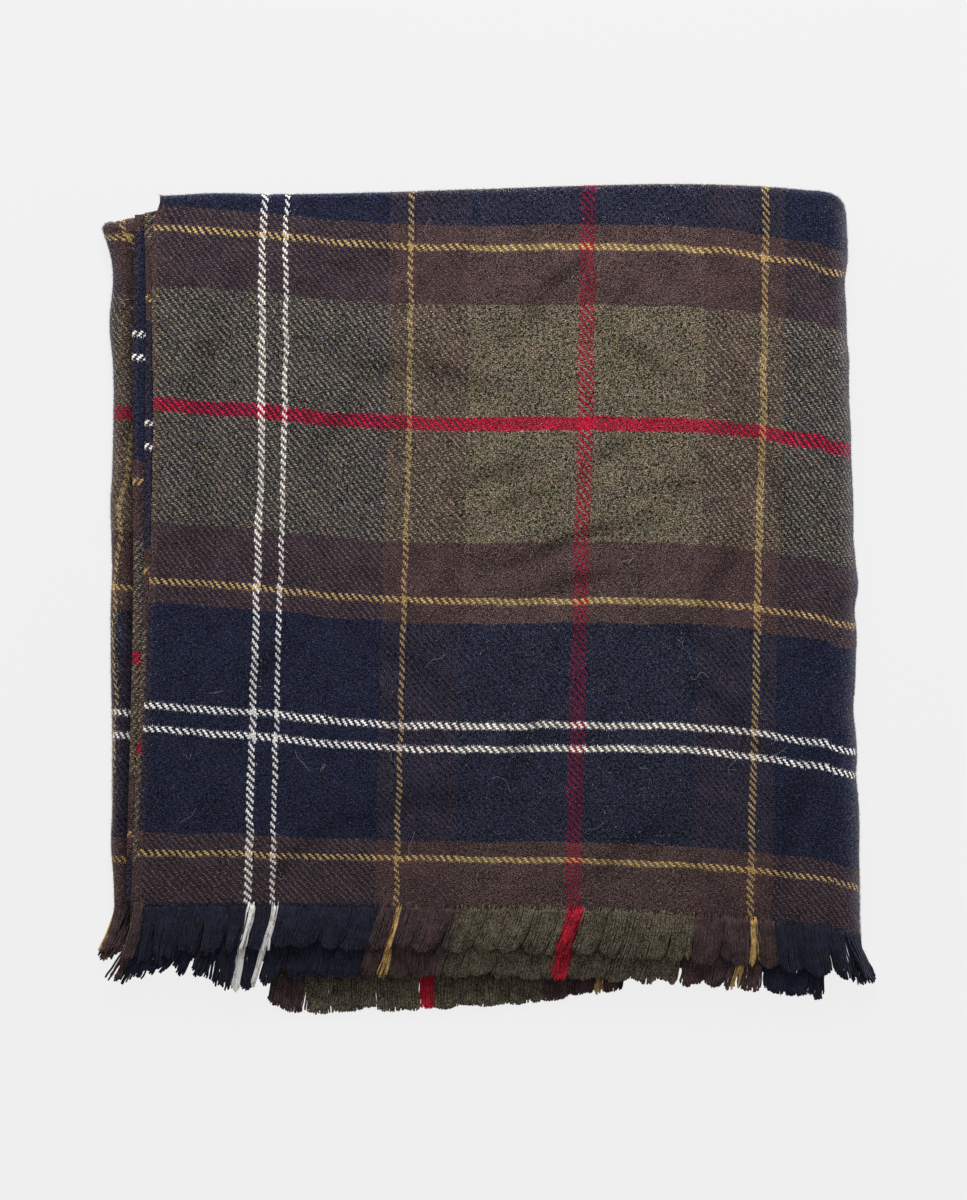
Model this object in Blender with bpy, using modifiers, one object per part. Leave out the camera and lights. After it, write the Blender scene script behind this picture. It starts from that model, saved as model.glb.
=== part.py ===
"""A fringed woollen cape, folded into a flat bundle that lies on its back.

The cloth is folded in half and in half again across its length, then twice more across
its width, so the bundle is four groups of four plies.  The outermost ply runs from the
front panel's selvedge over the top of the bundle, round the big right-hand roll, back
along the flat underside and round the smaller fold on the left.  Every group ends in a
soft fold along the top edge, and in fringe or a fold along the bottom edge.

x runs to the right across the bundle, y up from the fringe to the top folds, and z is up.
All sizes are in metres.
"""

from collections import namedtuple
from math import cos, exp, pi, radians, sin, sqrt

import bmesh
import bpy

# --- Cloth and stack ---------------------------------------------------------------
WALL = 0.0014                       # one ply of brushed cloth
GAP = 0.0003                        # clearance at a seam
PITCH = 0.00175                     # one ply with the air above it
PLIES_IN_GROUP = 4
GROUPS = 4
GROUP = PITCH * PLIES_IN_GROUP
HEIGHT = GROUP * GROUPS
MIDDLE = HEIGHT / 2

# --- Folds -------------------------------------------------------------------------
RIGHT_ROLL = HEIGHT / 2             # outer radius of the roll on the right
LEFT_FOLD = GROUP                   # outer radius of the fold on the left
TOP_FOLD = GROUP / 2                # outer radius of each group's fold along the top
TOP_TURN = radians(150)             # how far the outer ply is followed round a top fold
STRIP_END = -0.131                  # where the left fold's upper ply ends, under the stack
SLOT_ROOM = 0.0007                  # clearance round that end, inside the core
ROUND_CLEARANCE = 0.00065           # core to the facets of a ply rolled round it

# --- Fringe ------------------------------------------------------------------------
FRINGE_WALL = 0.0012
FRINGE_STEPS = 3
FRONT_FRINGE_TURN = 0.8             # share of the right roll that the front fringe follows

# --- Mesh lines, shared by all the plies so that they stay parallel ------------------------
LINES_LEFT, LINES_RIGHT, LINES_ACROSS = -0.150, 0.152, 12
LINES_LOW, LINES_HIGH, LINES_UP = -0.136, 0.174, 13
TOP_FOLD_CELLS = 5
RIGHT_ROLL_CELLS = 8
UNDERSIDE_CELLS = 7
LEFT_FOLD_CELLS = 6
FRINGE_CELLS = 16

# --- Outlines seen from above --------------------------------------------------------
Edge = namedtuple("Edge", "y x")                # an upright edge: x at each height y
Line = namedtuple("Line", "x y")                # a level edge: y at each place x

FRONT_SELVEDGE = [
    Edge(y=-0.150, x=-0.1678), Edge(y=-0.086, x=-0.1644), Edge(y=0.005, x=-0.1606),
    Edge(y=0.081, x=-0.1586), Edge(y=0.144, x=-0.1592), Edge(y=0.190, x=-0.1550),
]
SECOND_SELVEDGE = [
    Edge(y=-0.161, x=-0.1702), Edge(y=-0.086, x=-0.1672), Edge(y=0.005, x=-0.1634),
    Edge(y=0.100, x=-0.1626), Edge(y=0.150, x=-0.1622), Edge(y=0.188, x=-0.1632),
]
THIRD_SELVEDGE = [
    Edge(y=-0.150, x=-0.1722), Edge(y=0.000, x=-0.1684), Edge(y=0.110, x=-0.1690),
    Edge(y=0.178, x=-0.1676),
]
LEFT_EDGE = [
    Edge(y=-0.150, x=-0.1762), Edge(y=-0.096, x=-0.1780), Edge(y=0.000, x=-0.1788),
    Edge(y=0.096, x=-0.1774), Edge(y=0.140, x=-0.1780), Edge(y=0.178, x=-0.1822),
]
RIGHT_EDGE = [
    Edge(y=-0.160, x=0.1823), Edge(y=-0.096, x=0.1812), Edge(y=-0.029, x=0.1798),
    Edge(y=0.010, x=0.1799), Edge(y=0.067, x=0.1774), Edge(y=0.096, x=0.1759),
    Edge(y=0.140, x=0.1744), Edge(y=0.168, x=0.1754), Edge(y=0.190, x=0.1742),
]
TOP_EDGE = [
    Line(x=-0.156, y=0.1945), Line(x=-0.100, y=0.1955), Line(x=-0.020, y=0.1970),
    Line(x=0.056, y=0.1992), Line(x=0.100, y=0.1997), Line(x=0.140, y=0.1984),
    Line(x=0.162, y=0.1965),
]
TOP_EDGE_ROLL = [
    Line(x=0.0, y=0.1965), Line(x=0.5, y=0.1912), Line(x=1.0, y=0.1890),
]
PLY_TOP_EDGE = [
    Line(x=-0.166, y=0.1858), Line(x=-0.157, y=0.1875), Line(x=-0.145, y=0.1925),
]
BACK_TOP_EDGE = [
    Line(x=-0.178, y=0.1825), Line(x=-0.150, y=0.1862), Line(x=0.000, y=0.1915),
    Line(x=0.164, y=0.1890),
]
LOWER_MID_TOP_EDGE = [
    Line(x=-0.180, y=0.1770), Line(x=-0.128, y=0.1812), Line(x=-0.115, y=0.1900),
    Line(x=0.000, y=0.1940), Line(x=0.100, y=0.1955), Line(x=0.150, y=0.1940),
    Line(x=0.168, y=0.1890),
]
UPPER_MID_TOP_EDGE = [
    Line(x=-0.166, y=0.1862), Line(x=-0.157, y=0.1880), Line(x=-0.145, y=0.1935),
    Line(x=0.000, y=0.1950), Line(x=0.100, y=0.1978), Line(x=0.145, y=0.1958),
    Line(x=0.168, y=0.1900),
]
HEM = [
    Line(x=-0.168, y=-0.1468), Line(x=-0.100, y=-0.1466), Line(x=0.000, y=-0.1480),
    Line(x=0.060, y=-0.1494), Line(x=0.120, y=-0.1530), Line(x=0.168, y=-0.1582),
]
HEM_ROLL = [
    Line(x=0.0, y=-0.1582), Line(x=0.5, y=-0.1634), Line(x=1.0, y=-0.1600),
]
SECOND_HEM_DROP = 0.0130            # how far the second ply runs below the front one
BACK_HEM = [
    Line(x=-0.176, y=-0.1505), Line(x=-0.060, y=-0.1560), Line(x=0.164, y=-0.1600),
]
MID_HEM = [
    Line(x=-0.176, y=-0.1485), Line(x=-0.120, y=-0.1500), Line(x=-0.100, y=-0.1722),
    Line(x=-0.060, y=-0.1736), Line(x=0.066, y=-0.1680), Line(x=0.082, y=-0.1530),
    Line(x=0.170, y=-0.1540),
]
SECOND_ROW_RIGHT = 0.165
THIRD_ROW_LEFT = -0.1005
THIRD_ROW_RIGHT = 0.068

# --- Reach of the fringe, by the share of the way along each row -------------------------
Reach = namedtuple("Reach", "share length lean")
FRINGE_SPLAY = 0.8                  # share of its lean that fringe on a roll keeps
FRONT_REACH = [
    Reach(share=0.00, length=0.0330, lean=-0.0060), Reach(share=0.10, length=0.0290, lean=-0.0030),
    Reach(share=0.22, length=0.0215, lean=-0.0060), Reach(share=0.60, length=0.0220, lean=-0.0070),
    Reach(share=0.72, length=0.0265, lean=-0.0020), Reach(share=0.86, length=0.0225, lean=0.0034),
    Reach(share=1.00, length=0.0210, lean=0.0034),
]
SECOND_REACH = [
    Reach(share=0.00, length=0.0285, lean=-0.0040), Reach(share=0.25, length=0.0225, lean=-0.0045),
    Reach(share=0.75, length=0.0220, lean=-0.0050), Reach(share=1.00, length=0.0240, lean=-0.0010),
]
THIRD_REACH = [
    Reach(share=0.00, length=0.0235, lean=-0.0040), Reach(share=0.30, length=0.0246, lean=0.0010),
    Reach(share=1.00, length=0.0200, lean=-0.0015),
]
BACK_REACH = [
    Reach(share=0.00, length=0.0230, lean=0.0010), Reach(share=0.40, length=0.0220, lean=-0.0020),
    Reach(share=0.72, length=0.0240, lean=-0.0110), Reach(share=1.00, length=0.0240, lean=-0.0040),
]

# --- Relief of the stack: what sinks or swells, in metres at its top ----------------------
Crease = namedtuple("Crease", "x y heading reach breadth lift")
CREASES = [
    Crease(x=0.010, y=0.150, heading=12, reach=0.070, breadth=0.034, lift=0.0012),
    Crease(x=0.140, y=0.008, heading=-52, reach=0.050, breadth=0.026, lift=-0.0011),
    Crease(x=-0.075, y=0.030, heading=70, reach=0.080, breadth=0.032, lift=-0.0011),
    Crease(x=-0.010, y=-0.070, heading=8, reach=0.100, breadth=0.034, lift=0.0011),
    Crease(x=0.078, y=0.085, heading=-20, reach=0.070, breadth=0.032, lift=-0.0009),
]
LEFT_SINK = 0.0032                  # the stack sinks towards its left edge
LEFT_SINK_FROM = -0.118
LEFT_SINK_TO = -0.170
TOP_SINK = 0.0012                   # a little towards its top folds
TOP_SINK_FROM = 0.150
TOP_SINK_TO = 0.198
Drop = namedtuple("Drop", "y depth")
HEM_SINK = [                        # and most of all along the fringe
    Drop(y=-0.200, depth=0.0106), Drop(y=-0.184, depth=0.0090), Drop(y=-0.168, depth=0.0058),
    Drop(y=-0.147, depth=0.0026), Drop(y=-0.120, depth=0.0),
]
HEM_HANG = [                        # the upper fringe hangs over the plies below
    Drop(y=-0.186, depth=0.0056), Drop(y=-0.168, depth=0.0026), Drop(y=-0.147, depth=0.0),
]

# --- Finish --------------------------------------------------------------------------
Finish = namedtuple("Finish", "colour roughness")
NAVY = Finish(colour=(0.020, 0.023, 0.045), roughness=0.92)
DEEP_NAVY = Finish(colour=(0.013, 0.015, 0.031), roughness=0.94)
OLIVE = Finish(colour=(0.085, 0.078, 0.052), roughness=0.92)
BROWN = Finish(colour=(0.042, 0.027, 0.025), roughness=0.93)
UMBER = Finish(colour=(0.030, 0.020, 0.020), roughness=0.95)


# --- Small helpers -------------------------------------------------------------------
def mix(start, end, share):
    return start + (end - start) * share


def ease(share):
    """0 to 1 with level ends."""
    share = min(1.0, max(0.0, share))
    return share * share * (3 - 2 * share)


def follow(rows, at):
    """Value of a smooth line through the rows, level beyond its ends."""
    if at <= rows[0][0]:
        return rows[0][1]
    if at >= rows[-1][0]:
        return rows[-1][1]
    last = len(rows) - 1
    here = next(i for i in range(last) if rows[i + 1][0] >= at)

    def slope(i):
        low, high = rows[max(i - 1, 0)], rows[min(i + 1, last)]
        return (high[1] - low[1]) / (high[0] - low[0])

    span = rows[here + 1][0] - rows[here][0]
    share = (at - rows[here][0]) / span
    lift = rows[here + 1][1] - rows[here][1]
    start, end = slope(here) * span, slope(here + 1) * span
    curve = (start + end - 2 * lift) * share + (3 * lift - 2 * start - end)
    return rows[here][1] + share * (start + share * curve)


def shares(cells):
    """0 to 1 in even steps."""
    return [i / cells for i in range(cells + 1)]


def rounding(offset, radius):
    """How far a round edge of this radius stands back at an offset from its middle."""
    return radius - sqrt(max(0.0, radius * radius - offset * offset))


ACROSS_LINES = [mix(LINES_LEFT, LINES_RIGHT, share) for share in shares(LINES_ACROSS)]
UP_LINES = [mix(LINES_LOW, LINES_HIGH, share) for share in shares(LINES_UP)]


# --- Form of the whole stack -----------------------------------------------------------
def relief(x, y):
    """Lift of the top of the stack at a place, from its creases and sinking edges."""
    lift = 0.0
    for crease in CREASES:
        turn = radians(crease.heading)
        along = (x - crease.x) * cos(turn) + (y - crease.y) * sin(turn)
        aside = (y - crease.y) * cos(turn) - (x - crease.x) * sin(turn)
        lift += crease.lift * exp(-(along / crease.reach) ** 2 - (aside / crease.breadth) ** 2)
    lift -= LEFT_SINK * ease((x - LEFT_SINK_FROM) / (LEFT_SINK_TO - LEFT_SINK_FROM))
    lift -= TOP_SINK * ease((y - TOP_SINK_FROM) / (TOP_SINK_TO - TOP_SINK_FROM))
    return lift - follow(HEM_SINK, y)


def settle(point):
    """Lower a point of the evenly stacked bundle to where the soft stack lets it lie."""
    x, y, z = point
    lower = ease(z / MIDDLE)
    upper = ease((z - MIDDLE) / GROUP)
    return (x, y, z + relief(x, y) * lower - follow(HEM_HANG, y) * upper)


def roll_line(y):
    """x of the middle of the right-hand roll."""
    return follow(RIGHT_EDGE, y) - RIGHT_ROLL


def left_line(y):
    """x of the middle of the left fold."""
    return follow(LEFT_EDGE, y) + LEFT_FOLD


# --- The outer ply's path, seen from the fringe end -----------------------------------------
# A stretch gives the top fold's height and the hem's height for a share of the way along it,
# and the ply's place there at any height y: its (x, z), and the (x, z) that it faces.
def front_stretch(column):
    across = front_column(column, FRONT_SELVEDGE, 0.0)

    def place(y):
        return (across(y), HEIGHT), (0.0, 1.0)

    return follow(TOP_EDGE, across(0.0)), follow(HEM, across(0.0)), place


def roll_stretch(share):
    turn = pi * share

    def place(y):
        facing = (sin(turn), cos(turn))
        at = (roll_line(y) + RIGHT_ROLL * facing[0], MIDDLE + RIGHT_ROLL * facing[1])
        return at, facing

    return follow(TOP_EDGE_ROLL, share), follow(HEM_ROLL, share), place


def underside_stretch(share):
    across = mix(roll_line(0.0), left_line(0.0), share)

    def place(y):
        return (mix(roll_line(y) - GAP, left_line(y), share), 0.0), (0.0, -1.0)

    return follow(BACK_TOP_EDGE, across), follow(BACK_HEM, across), place


def left_fold_stretch(share):
    turn = pi * share

    def place(y):
        facing = (-sin(turn), -cos(turn))
        at = (left_line(y) + LEFT_FOLD * facing[0], LEFT_FOLD + LEFT_FOLD * facing[1])
        return at, facing

    return BACK_TOP_EDGE[0].y, BACK_HEM[0].y, place


def strip_stretch(share):
    across = mix(left_line(0.0), STRIP_END, share)

    def place(y):
        return (mix(left_line(y), STRIP_END, share), 2 * LEFT_FOLD), (0.0, 1.0)

    return follow(BACK_TOP_EDGE, across), follow(BACK_HEM, across), place


def front_column(column, selvedge, past_roll_line):
    """x at each height y of an upright mesh line of the upper plies."""
    if column == 0:
        return lambda y: follow(selvedge, y)
    if column == len(ACROSS_LINES) + 1:
        return lambda y: roll_line(y) + past_roll_line
    return lambda y: ACROSS_LINES[column - 1]


FRONT = [(front_stretch, column) for column in range(len(ACROSS_LINES) + 2)]
ROLL = [(roll_stretch, share) for share in shares(RIGHT_ROLL_CELLS)]
UNDERSIDE = [(underside_stretch, share) for share in shares(UNDERSIDE_CELLS)]
FOLD = [(left_fold_stretch, share) for share in shares(LEFT_FOLD_CELLS)]
STRIP = [(strip_stretch, share) for share in shares(1)]


def wrapped_grid(stations):
    """Columns of points on the outer ply's face, from its hem round its top fold."""
    grid = []
    for stretch, share in stations:
        top, hem, place = stretch(share)
        start = top - TOP_FOLD
        column = []
        for y in [hem, *UP_LINES, start]:
            (x, z), _ = place(y)
            column.append((x, y, z))
        (x, z), facing = place(start)
        for part in shares(TOP_FOLD_CELLS)[1:]:
            turn = TOP_TURN * part
            inward = TOP_FOLD * (1 - cos(turn))
            y = start + TOP_FOLD * sin(turn)
            column.append((x - facing[0] * inward, y, z - facing[1] * inward))
        grid.append([settle(point) for point in column])
    return grid


def ply_start(x):
    """Height at which an upper ply stops, inside the front panel's top fold."""
    return min(follow(TOP_EDGE, x) - TOP_FOLD, follow(PLY_TOP_EDGE, x)) - 2 * GAP


def inner_ply_grid(selvedge, level, hem_drop):
    """Columns of points of a ply that lies flat under the front panel."""
    facet = cos(pi / RIGHT_ROLL_CELLS / 2)
    inner = (RIGHT_ROLL - WALL) * facet
    past_roll_line = sqrt(inner ** 2 - (level - MIDDLE) ** 2) - 2 * GAP
    grid = []
    for column in range(len(ACROSS_LINES) + 2):
        across = front_column(column, selvedge, past_roll_line)
        hem = follow(HEM, across(0.0))
        rows = [hem, *UP_LINES, ply_start(across(0.0))]
        if hem_drop > 0.0:
            rows.insert(0, hem - hem_drop)
        grid.append([settle((across(y), y, level)) for y in rows])
    return grid


# --- Fringe: a slab of each row's reach -----------------------------------------------------
def reach_at(rows, share):
    length = follow([(row.share, row.length) for row in rows], share)
    lean = follow([(row.share, row.lean) for row in rows], share)
    return length, lean


def fringe_grid(bases, rows):
    """Columns of points from the ends of a fringe up to the hem that it hangs from."""
    grid = []
    for i, ((x, z), y, facing) in enumerate(bases):
        length, lean = reach_at(rows, i / (len(bases) - 1))
        sideways = max(abs(facing[1]), FRINGE_SPLAY)
        column = []
        for step in shares(FRINGE_STEPS):
            down = GAP + (length - GAP) * step
            column.append(settle((x + lean * step * sideways, y - down, z)))
        grid.append(column[::-1])
    return grid


def wrapped_bases(stations):
    bases = []
    for stretch, share in stations:
        _, hem, place = stretch(share)
        at, facing = place(hem)
        bases.append((at, hem, facing))
    return bases


def flat_bases(left, right, hem_at, level):
    bases = []
    for share in shares(FRINGE_CELLS):
        x = mix(left, right, share)
        bases.append(((x, level), hem_at(x), (0.0, 1.0)))
    return bases


# --- Core: the hidden layers as one rounded solid, layered at the edges ------------------------
Level = namedtuple("Level", "z group tucked")
SLOT_FLOOR = 2 * GROUP - WALL - SLOT_ROOM
SLOT_ROOF = 2 * GROUP + SLOT_ROOM
SLOT_EDGE = 0.00005                 # height over which the slot opens
CORE_LEVELS = [
    Level(z=PITCH, group=0, tucked=False),
    Level(z=0.0036, group=0, tucked=False),
    Level(z=0.0066, group=0, tucked=False),
    Level(z=0.0074, group=1, tucked=False),
    Level(z=0.0087, group=1, tucked=False),
    Level(z=0.0105, group=1, tucked=False),
    Level(z=SLOT_FLOOR - SLOT_EDGE, group=1, tucked=False),
    Level(z=SLOT_FLOOR, group=1, tucked=True),
    Level(z=2 * GROUP, group=1, tucked=True),
    Level(z=SLOT_ROOF, group=2, tucked=True),
    Level(z=SLOT_ROOF + SLOT_EDGE, group=2, tucked=False),
    Level(z=0.0158, group=2, tucked=False),
    Level(z=0.0175, group=2, tucked=False),
    Level(z=0.0193, group=2, tucked=False),
    Level(z=0.0206, group=2, tucked=False),
    Level(z=0.0214, group=3, tucked=False),
    Level(z=HEIGHT - 3 * PITCH, group=3, tucked=False),
]
UPPER_INSET = 0.0042                # the upper groups' selvedges stand in from the third ply
CORNER_RELIEF = 0.010               # where the core gives way to the top fold on the roll


def core_left(level, y):
    if level.tucked:
        return STRIP_END + GAP
    if level.z > 2 * GROUP:
        return follow(THIRD_SELVEDGE, y) + UPPER_INSET
    inner = LEFT_FOLD - WALL - ROUND_CLEARANCE
    return left_line(y) - inner + rounding(level.z - LEFT_FOLD, inner)


def core_right(level, y, top):
    inner = RIGHT_ROLL - WALL - ROUND_CLEARANCE
    beside_fold = RIGHT_ROLL - 2 * TOP_FOLD - ROUND_CLEARANCE
    near_top = ease((y - top + TOP_FOLD + CORNER_RELIEF) / (CORNER_RELIEF - 2 * GAP))
    radius = mix(inner, beside_fold, near_top)
    offset = min(abs(level.z - MIDDLE), radius)
    return roll_line(y) + radius - rounding(offset, radius)


def core_top(level, x):
    edge = rounding(level.z - (level.group + 0.5) * GROUP, TOP_FOLD)
    if level.group == 0:
        return follow(BACK_TOP_EDGE, x) - TOP_FOLD - 2 * GAP
    if level.group == 1:
        return follow(LOWER_MID_TOP_EDGE, x) - edge
    if level.group == 2:
        return follow(UPPER_MID_TOP_EDGE, x) - edge
    return ply_start(x)


def core_hem(level, x):
    edge = rounding(level.z - (level.group + 0.5) * GROUP, TOP_FOLD)
    if level.group == 0:
        return follow(BACK_HEM, x) + edge
    if level.group == 1:
        return follow(MID_HEM, x) + edge
    return follow(HEM, x) + edge * (level.group == 2)


def core_point(level, column, row):
    """Point of a core level on its outline, or inside it, by its mesh lines."""
    near_left, near_right = core_left(level, 0.0), roll_line(LINES_HIGH)
    x = [near_left, *ACROSS_LINES, near_right][column]
    x = max(x, near_left + column * SLOT_EDGE)
    y = [core_hem(level, x), *UP_LINES, core_top(level, x)][row]
    if column == 0:
        x = core_left(level, y)
    if column == len(ACROSS_LINES) + 1:
        x = core_right(level, y, core_top(level, near_right))
    return settle((x, y, level.z))


def ring_places():
    """Mesh places round a level, clockwise from above; its corners are cut."""
    last_column, last_row = len(ACROSS_LINES) + 1, len(UP_LINES) + 1
    left = [(0, row) for row in range(1, last_row)]
    top = [(column, last_row) for column in range(1, last_column)]
    right = [(last_column, row) for row in range(last_row - 1, 0, -1)]
    bottom = [(column, 0) for column in range(last_column - 1, 0, -1)]
    return left + top + right + bottom


# --- Objects -----------------------------------------------------------------------------
def material(name, finish):
    made = bpy.data.materials.new(name)
    made.use_nodes = True
    shader = made.node_tree.nodes["Principled BSDF"]
    shader.inputs["Base Color"].default_value = (*finish.colour, 1.0)
    shader.inputs["Roughness"].default_value = finish.roughness
    shader.inputs["Metallic"].default_value = 0.0
    return made


def add_object(name, mesh, finish, collection):
    mesh.materials.append(material(name + "_finish", finish))
    made = bpy.data.objects.new(name, mesh)
    collection.objects.link(made)
    return made


def cloth_wall(name, grid, thickness, finish, collection):
    """A wall of cloth: its outer face, thickened inwards."""
    shell = bmesh.new()
    points = [[shell.verts.new(point) for point in column] for column in grid]
    for left, right in zip(points, points[1:]):
        for low in range(len(left) - 1):
            shell.faces.new((left[low], right[low], right[low + 1], left[low + 1]))
    mesh = bpy.data.meshes.new(name)
    shell.to_mesh(mesh)
    shell.free()
    mesh.shade_smooth()
    made = add_object(name, mesh, finish, collection)
    wall = made.modifiers.new("wall", "SOLIDIFY")
    wall.thickness = thickness
    wall.offset = -1.0
    wall.use_even_offset = True
    return made


def core_solid(name, finish, collection):
    """The hidden layers: rings one above the other, closed at the bottom and the top."""
    solid = bmesh.new()
    places = ring_places()
    rings = []
    for level in CORE_LEVELS:
        rings.append({at: solid.verts.new(core_point(level, *at)) for at in places})
    for below, above in zip(rings, rings[1:]):
        for here, after in zip(places, places[1:] + places[:1]):
            solid.faces.new((below[here], above[here], above[after], below[after]))
    close_level(solid, CORE_LEVELS[0], rings[0])
    close_level(solid, CORE_LEVELS[-1], rings[-1])
    bmesh.ops.recalc_face_normals(solid, faces=solid.faces)
    mesh = bpy.data.meshes.new(name)
    solid.to_mesh(mesh)
    solid.free()
    return add_object(name, mesh, finish, collection)


def close_level(solid, level, ring):
    """Close a ring with a mesh that follows the form of the plies beside it."""
    columns, rows = len(ACROSS_LINES) + 1, len(UP_LINES) + 1
    corners = {(0, 0), (0, rows), (columns, 0), (columns, rows)}
    points = dict(ring)
    for column in range(1, columns):
        for row in range(1, rows):
            points[column, row] = solid.verts.new(core_point(level, column, row))
    for column in range(columns):
        for row in range(rows):
            around = [(column, row), (column + 1, row), (column + 1, row + 1), (column, row + 1)]
            solid.faces.new([points[at] for at in around if at not in corners])


# --- The bundle ----------------------------------------------------------------------------
def second_hem(x):
    return follow(HEM, x) - SECOND_HEM_DROP


def third_row_hem(x):
    return follow(MID_HEM, x) - GAP


def build():
    for old in list(bpy.data.objects):
        bpy.data.objects.remove(old, do_unlink=True)
    cape = bpy.data.collections.new("folded_cape")
    bpy.context.scene.collection.children.link(cape)

    front = FRONT + ROLL[1:]
    cloth_wall("front_panel", wrapped_grid(front), WALL, NAVY, cape)
    second = inner_ply_grid(SECOND_SELVEDGE, HEIGHT - PITCH, SECOND_HEM_DROP)
    cloth_wall("second_ply", second, WALL, NAVY, cape)
    third = inner_ply_grid(THIRD_SELVEDGE, HEIGHT - 2 * PITCH, 0.0)
    cloth_wall("third_ply", third, WALL, DEEP_NAVY, cape)
    back = UNDERSIDE + FOLD[1:] + STRIP[1:]
    cloth_wall("back_panel", wrapped_grid(back), WALL, OLIVE, cape)
    core_solid("hidden_layers", UMBER, cape)

    turned = [(stretch, share) for stretch, share in ROLL[1:] if share < FRONT_FRINGE_TURN]
    front_row = fringe_grid(wrapped_bases(FRONT + turned), FRONT_REACH)
    cloth_wall("front_fringe", front_row, FRINGE_WALL, OLIVE, cape)
    bases = flat_bases(SECOND_SELVEDGE[0].x, SECOND_ROW_RIGHT, second_hem, HEIGHT - PITCH)
    cloth_wall("second_fringe", fringe_grid(bases, SECOND_REACH), FRINGE_WALL, OLIVE, cape)
    bases = flat_bases(THIRD_ROW_LEFT, THIRD_ROW_RIGHT, third_row_hem, 2 * GROUP - GAP)
    cloth_wall("third_fringe", fringe_grid(bases, THIRD_REACH), FRINGE_WALL, BROWN, cape)
    back_row = fringe_grid(wrapped_bases(back), BACK_REACH)
    cloth_wall("back_fringe", back_row, FRINGE_WALL, BROWN, cape)


build()
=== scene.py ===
from collections import namedtuple
from math import atan2, cos, pi, radians, sin, sqrt

import bpy
import numpy as np
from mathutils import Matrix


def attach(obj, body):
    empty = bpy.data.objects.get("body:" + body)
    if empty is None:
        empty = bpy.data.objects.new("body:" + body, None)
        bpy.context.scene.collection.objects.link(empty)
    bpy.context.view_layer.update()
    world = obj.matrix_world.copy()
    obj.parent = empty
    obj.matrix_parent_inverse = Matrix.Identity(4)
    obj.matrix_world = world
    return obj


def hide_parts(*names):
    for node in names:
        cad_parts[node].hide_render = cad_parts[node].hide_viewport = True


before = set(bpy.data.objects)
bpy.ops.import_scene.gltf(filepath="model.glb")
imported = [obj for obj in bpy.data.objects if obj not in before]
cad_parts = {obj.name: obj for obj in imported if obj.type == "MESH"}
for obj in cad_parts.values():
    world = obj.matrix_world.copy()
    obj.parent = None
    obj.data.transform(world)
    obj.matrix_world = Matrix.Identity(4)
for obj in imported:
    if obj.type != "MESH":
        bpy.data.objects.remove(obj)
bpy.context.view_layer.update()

# A woollen cape with fringe, folded into a flat bundle.  The outermost ply of cloth is one
# long sheet: it runs from its selvedge over the top of the bundle, round the roll on the
# right, back along the underside and round the fold on the left.  Sizes are in metres.

# --- Cloth and stack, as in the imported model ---
WALL = 0.0014
PITCH = 0.00175
GROUP = 4 * PITCH
HEIGHT = 4 * GROUP
MIDDLE = HEIGHT / 2
GAP = 0.0003
RIGHT_ROLL = HEIGHT / 2
LEFT_FOLD = GROUP
TOP_FOLD = GROUP / 2
TOP_TURN = radians(150)
STRIP_END = -0.131
SLOT_ROOM = 0.0007
ROUND_CLEARANCE = 0.00065
UPPER_INSET = 0.0042
SECOND_HEM_DROP = 0.0130
SECOND_ROW_RIGHT = 0.165
THIRD_ROW_LEFT = -0.1005
THIRD_ROW_RIGHT = 0.068
FRINGE_SPLAY = 0.8
FRONT_FRINGE_TURN = 0.8

# Upright edges: (y, x) up the bundle.
FRONT_SELVEDGE = [(-.150, -.1678), (-.086, -.1644), (.005, -.1606), (.081, -.1586), (.144, -.1592),
                  (.180, -.1586), (.195, -.1538)]
SECOND_SELVEDGE = [(-.161, -.1702), (-.086, -.1672), (.005, -.1634), (.100, -.1626),
                   (.150, -.1622), (.188, -.1632)]
THIRD_SELVEDGE = [(-.150, -.1722), (.000, -.1684), (.110, -.1690), (.178, -.1676)]
LEFT_EDGE = [(-.150, -.1784), (-.096, -.1794), (.000, -.1800), (.096, -.1786), (.140, -.1786),
             (.163, -.1794), (.180, -.1844)]
RIGHT_EDGE = [(-.160, .1817), (-.096, .1804), (-.029, .1788), (.010, .1792), (.067, .1770),
              (.096, .1759), (.140, .1744), (.168, .1754), (.190, .1742)]
# Level edges: (x, y) across the bundle, or (share of the turn, y) round the roll.
TOP_EDGE = [(-.156, .1943), (-.134, .1953), (-.105, .1948), (-.075, .1951), (-.040, .1960),
            (-.010, .1970), (.056, .1991), (.100, .1997), (.140, .1984), (.162, .1965)]
TOP_EDGE_ROLL = [(0.0, .1965), (0.2, .1954), (0.36, .1930), (0.5, .1890), (1.0, .1880)]
PLY_TOP_EDGE = [(-.166, .1858), (-.157, .1875), (-.145, .1925)]
BACK_TOP_EDGE = [(-.178, .1825), (-.150, .1862), (.000, .1915), (.164, .1890)]
LOWER_MID_TOP_EDGE = [(-.180, .1770), (-.128, .1812), (-.115, .1900), (.000, .1940),
                      (.100, .1955), (.150, .1940), (.168, .1890)]
UPPER_MID_TOP_EDGE = [(-.166, .1862), (-.157, .1880), (-.145, .1932), (.000, .1948),
                      (.100, .1978), (.145, .1958), (.168, .1900)]
HEM = [(-.168, -.1468), (-.100, -.1466), (.000, -.1480), (.060, -.1494), (.120, -.1530),
       (.168, -.1582)]
HEM_ROLL = [(0.0, -.1582), (0.5, -.1634), (1.0, -.1600)]
BACK_HEM = [(-.176, -.1505), (-.060, -.1560), (.164, -.1600)]
MID_HEM = [(-.176, -.1485), (-.120, -.1500), (-.100, -.1722), (-.060, -.1736), (.066, -.1680),
           (.082, -.1530), (.170, -.1540)]
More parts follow.
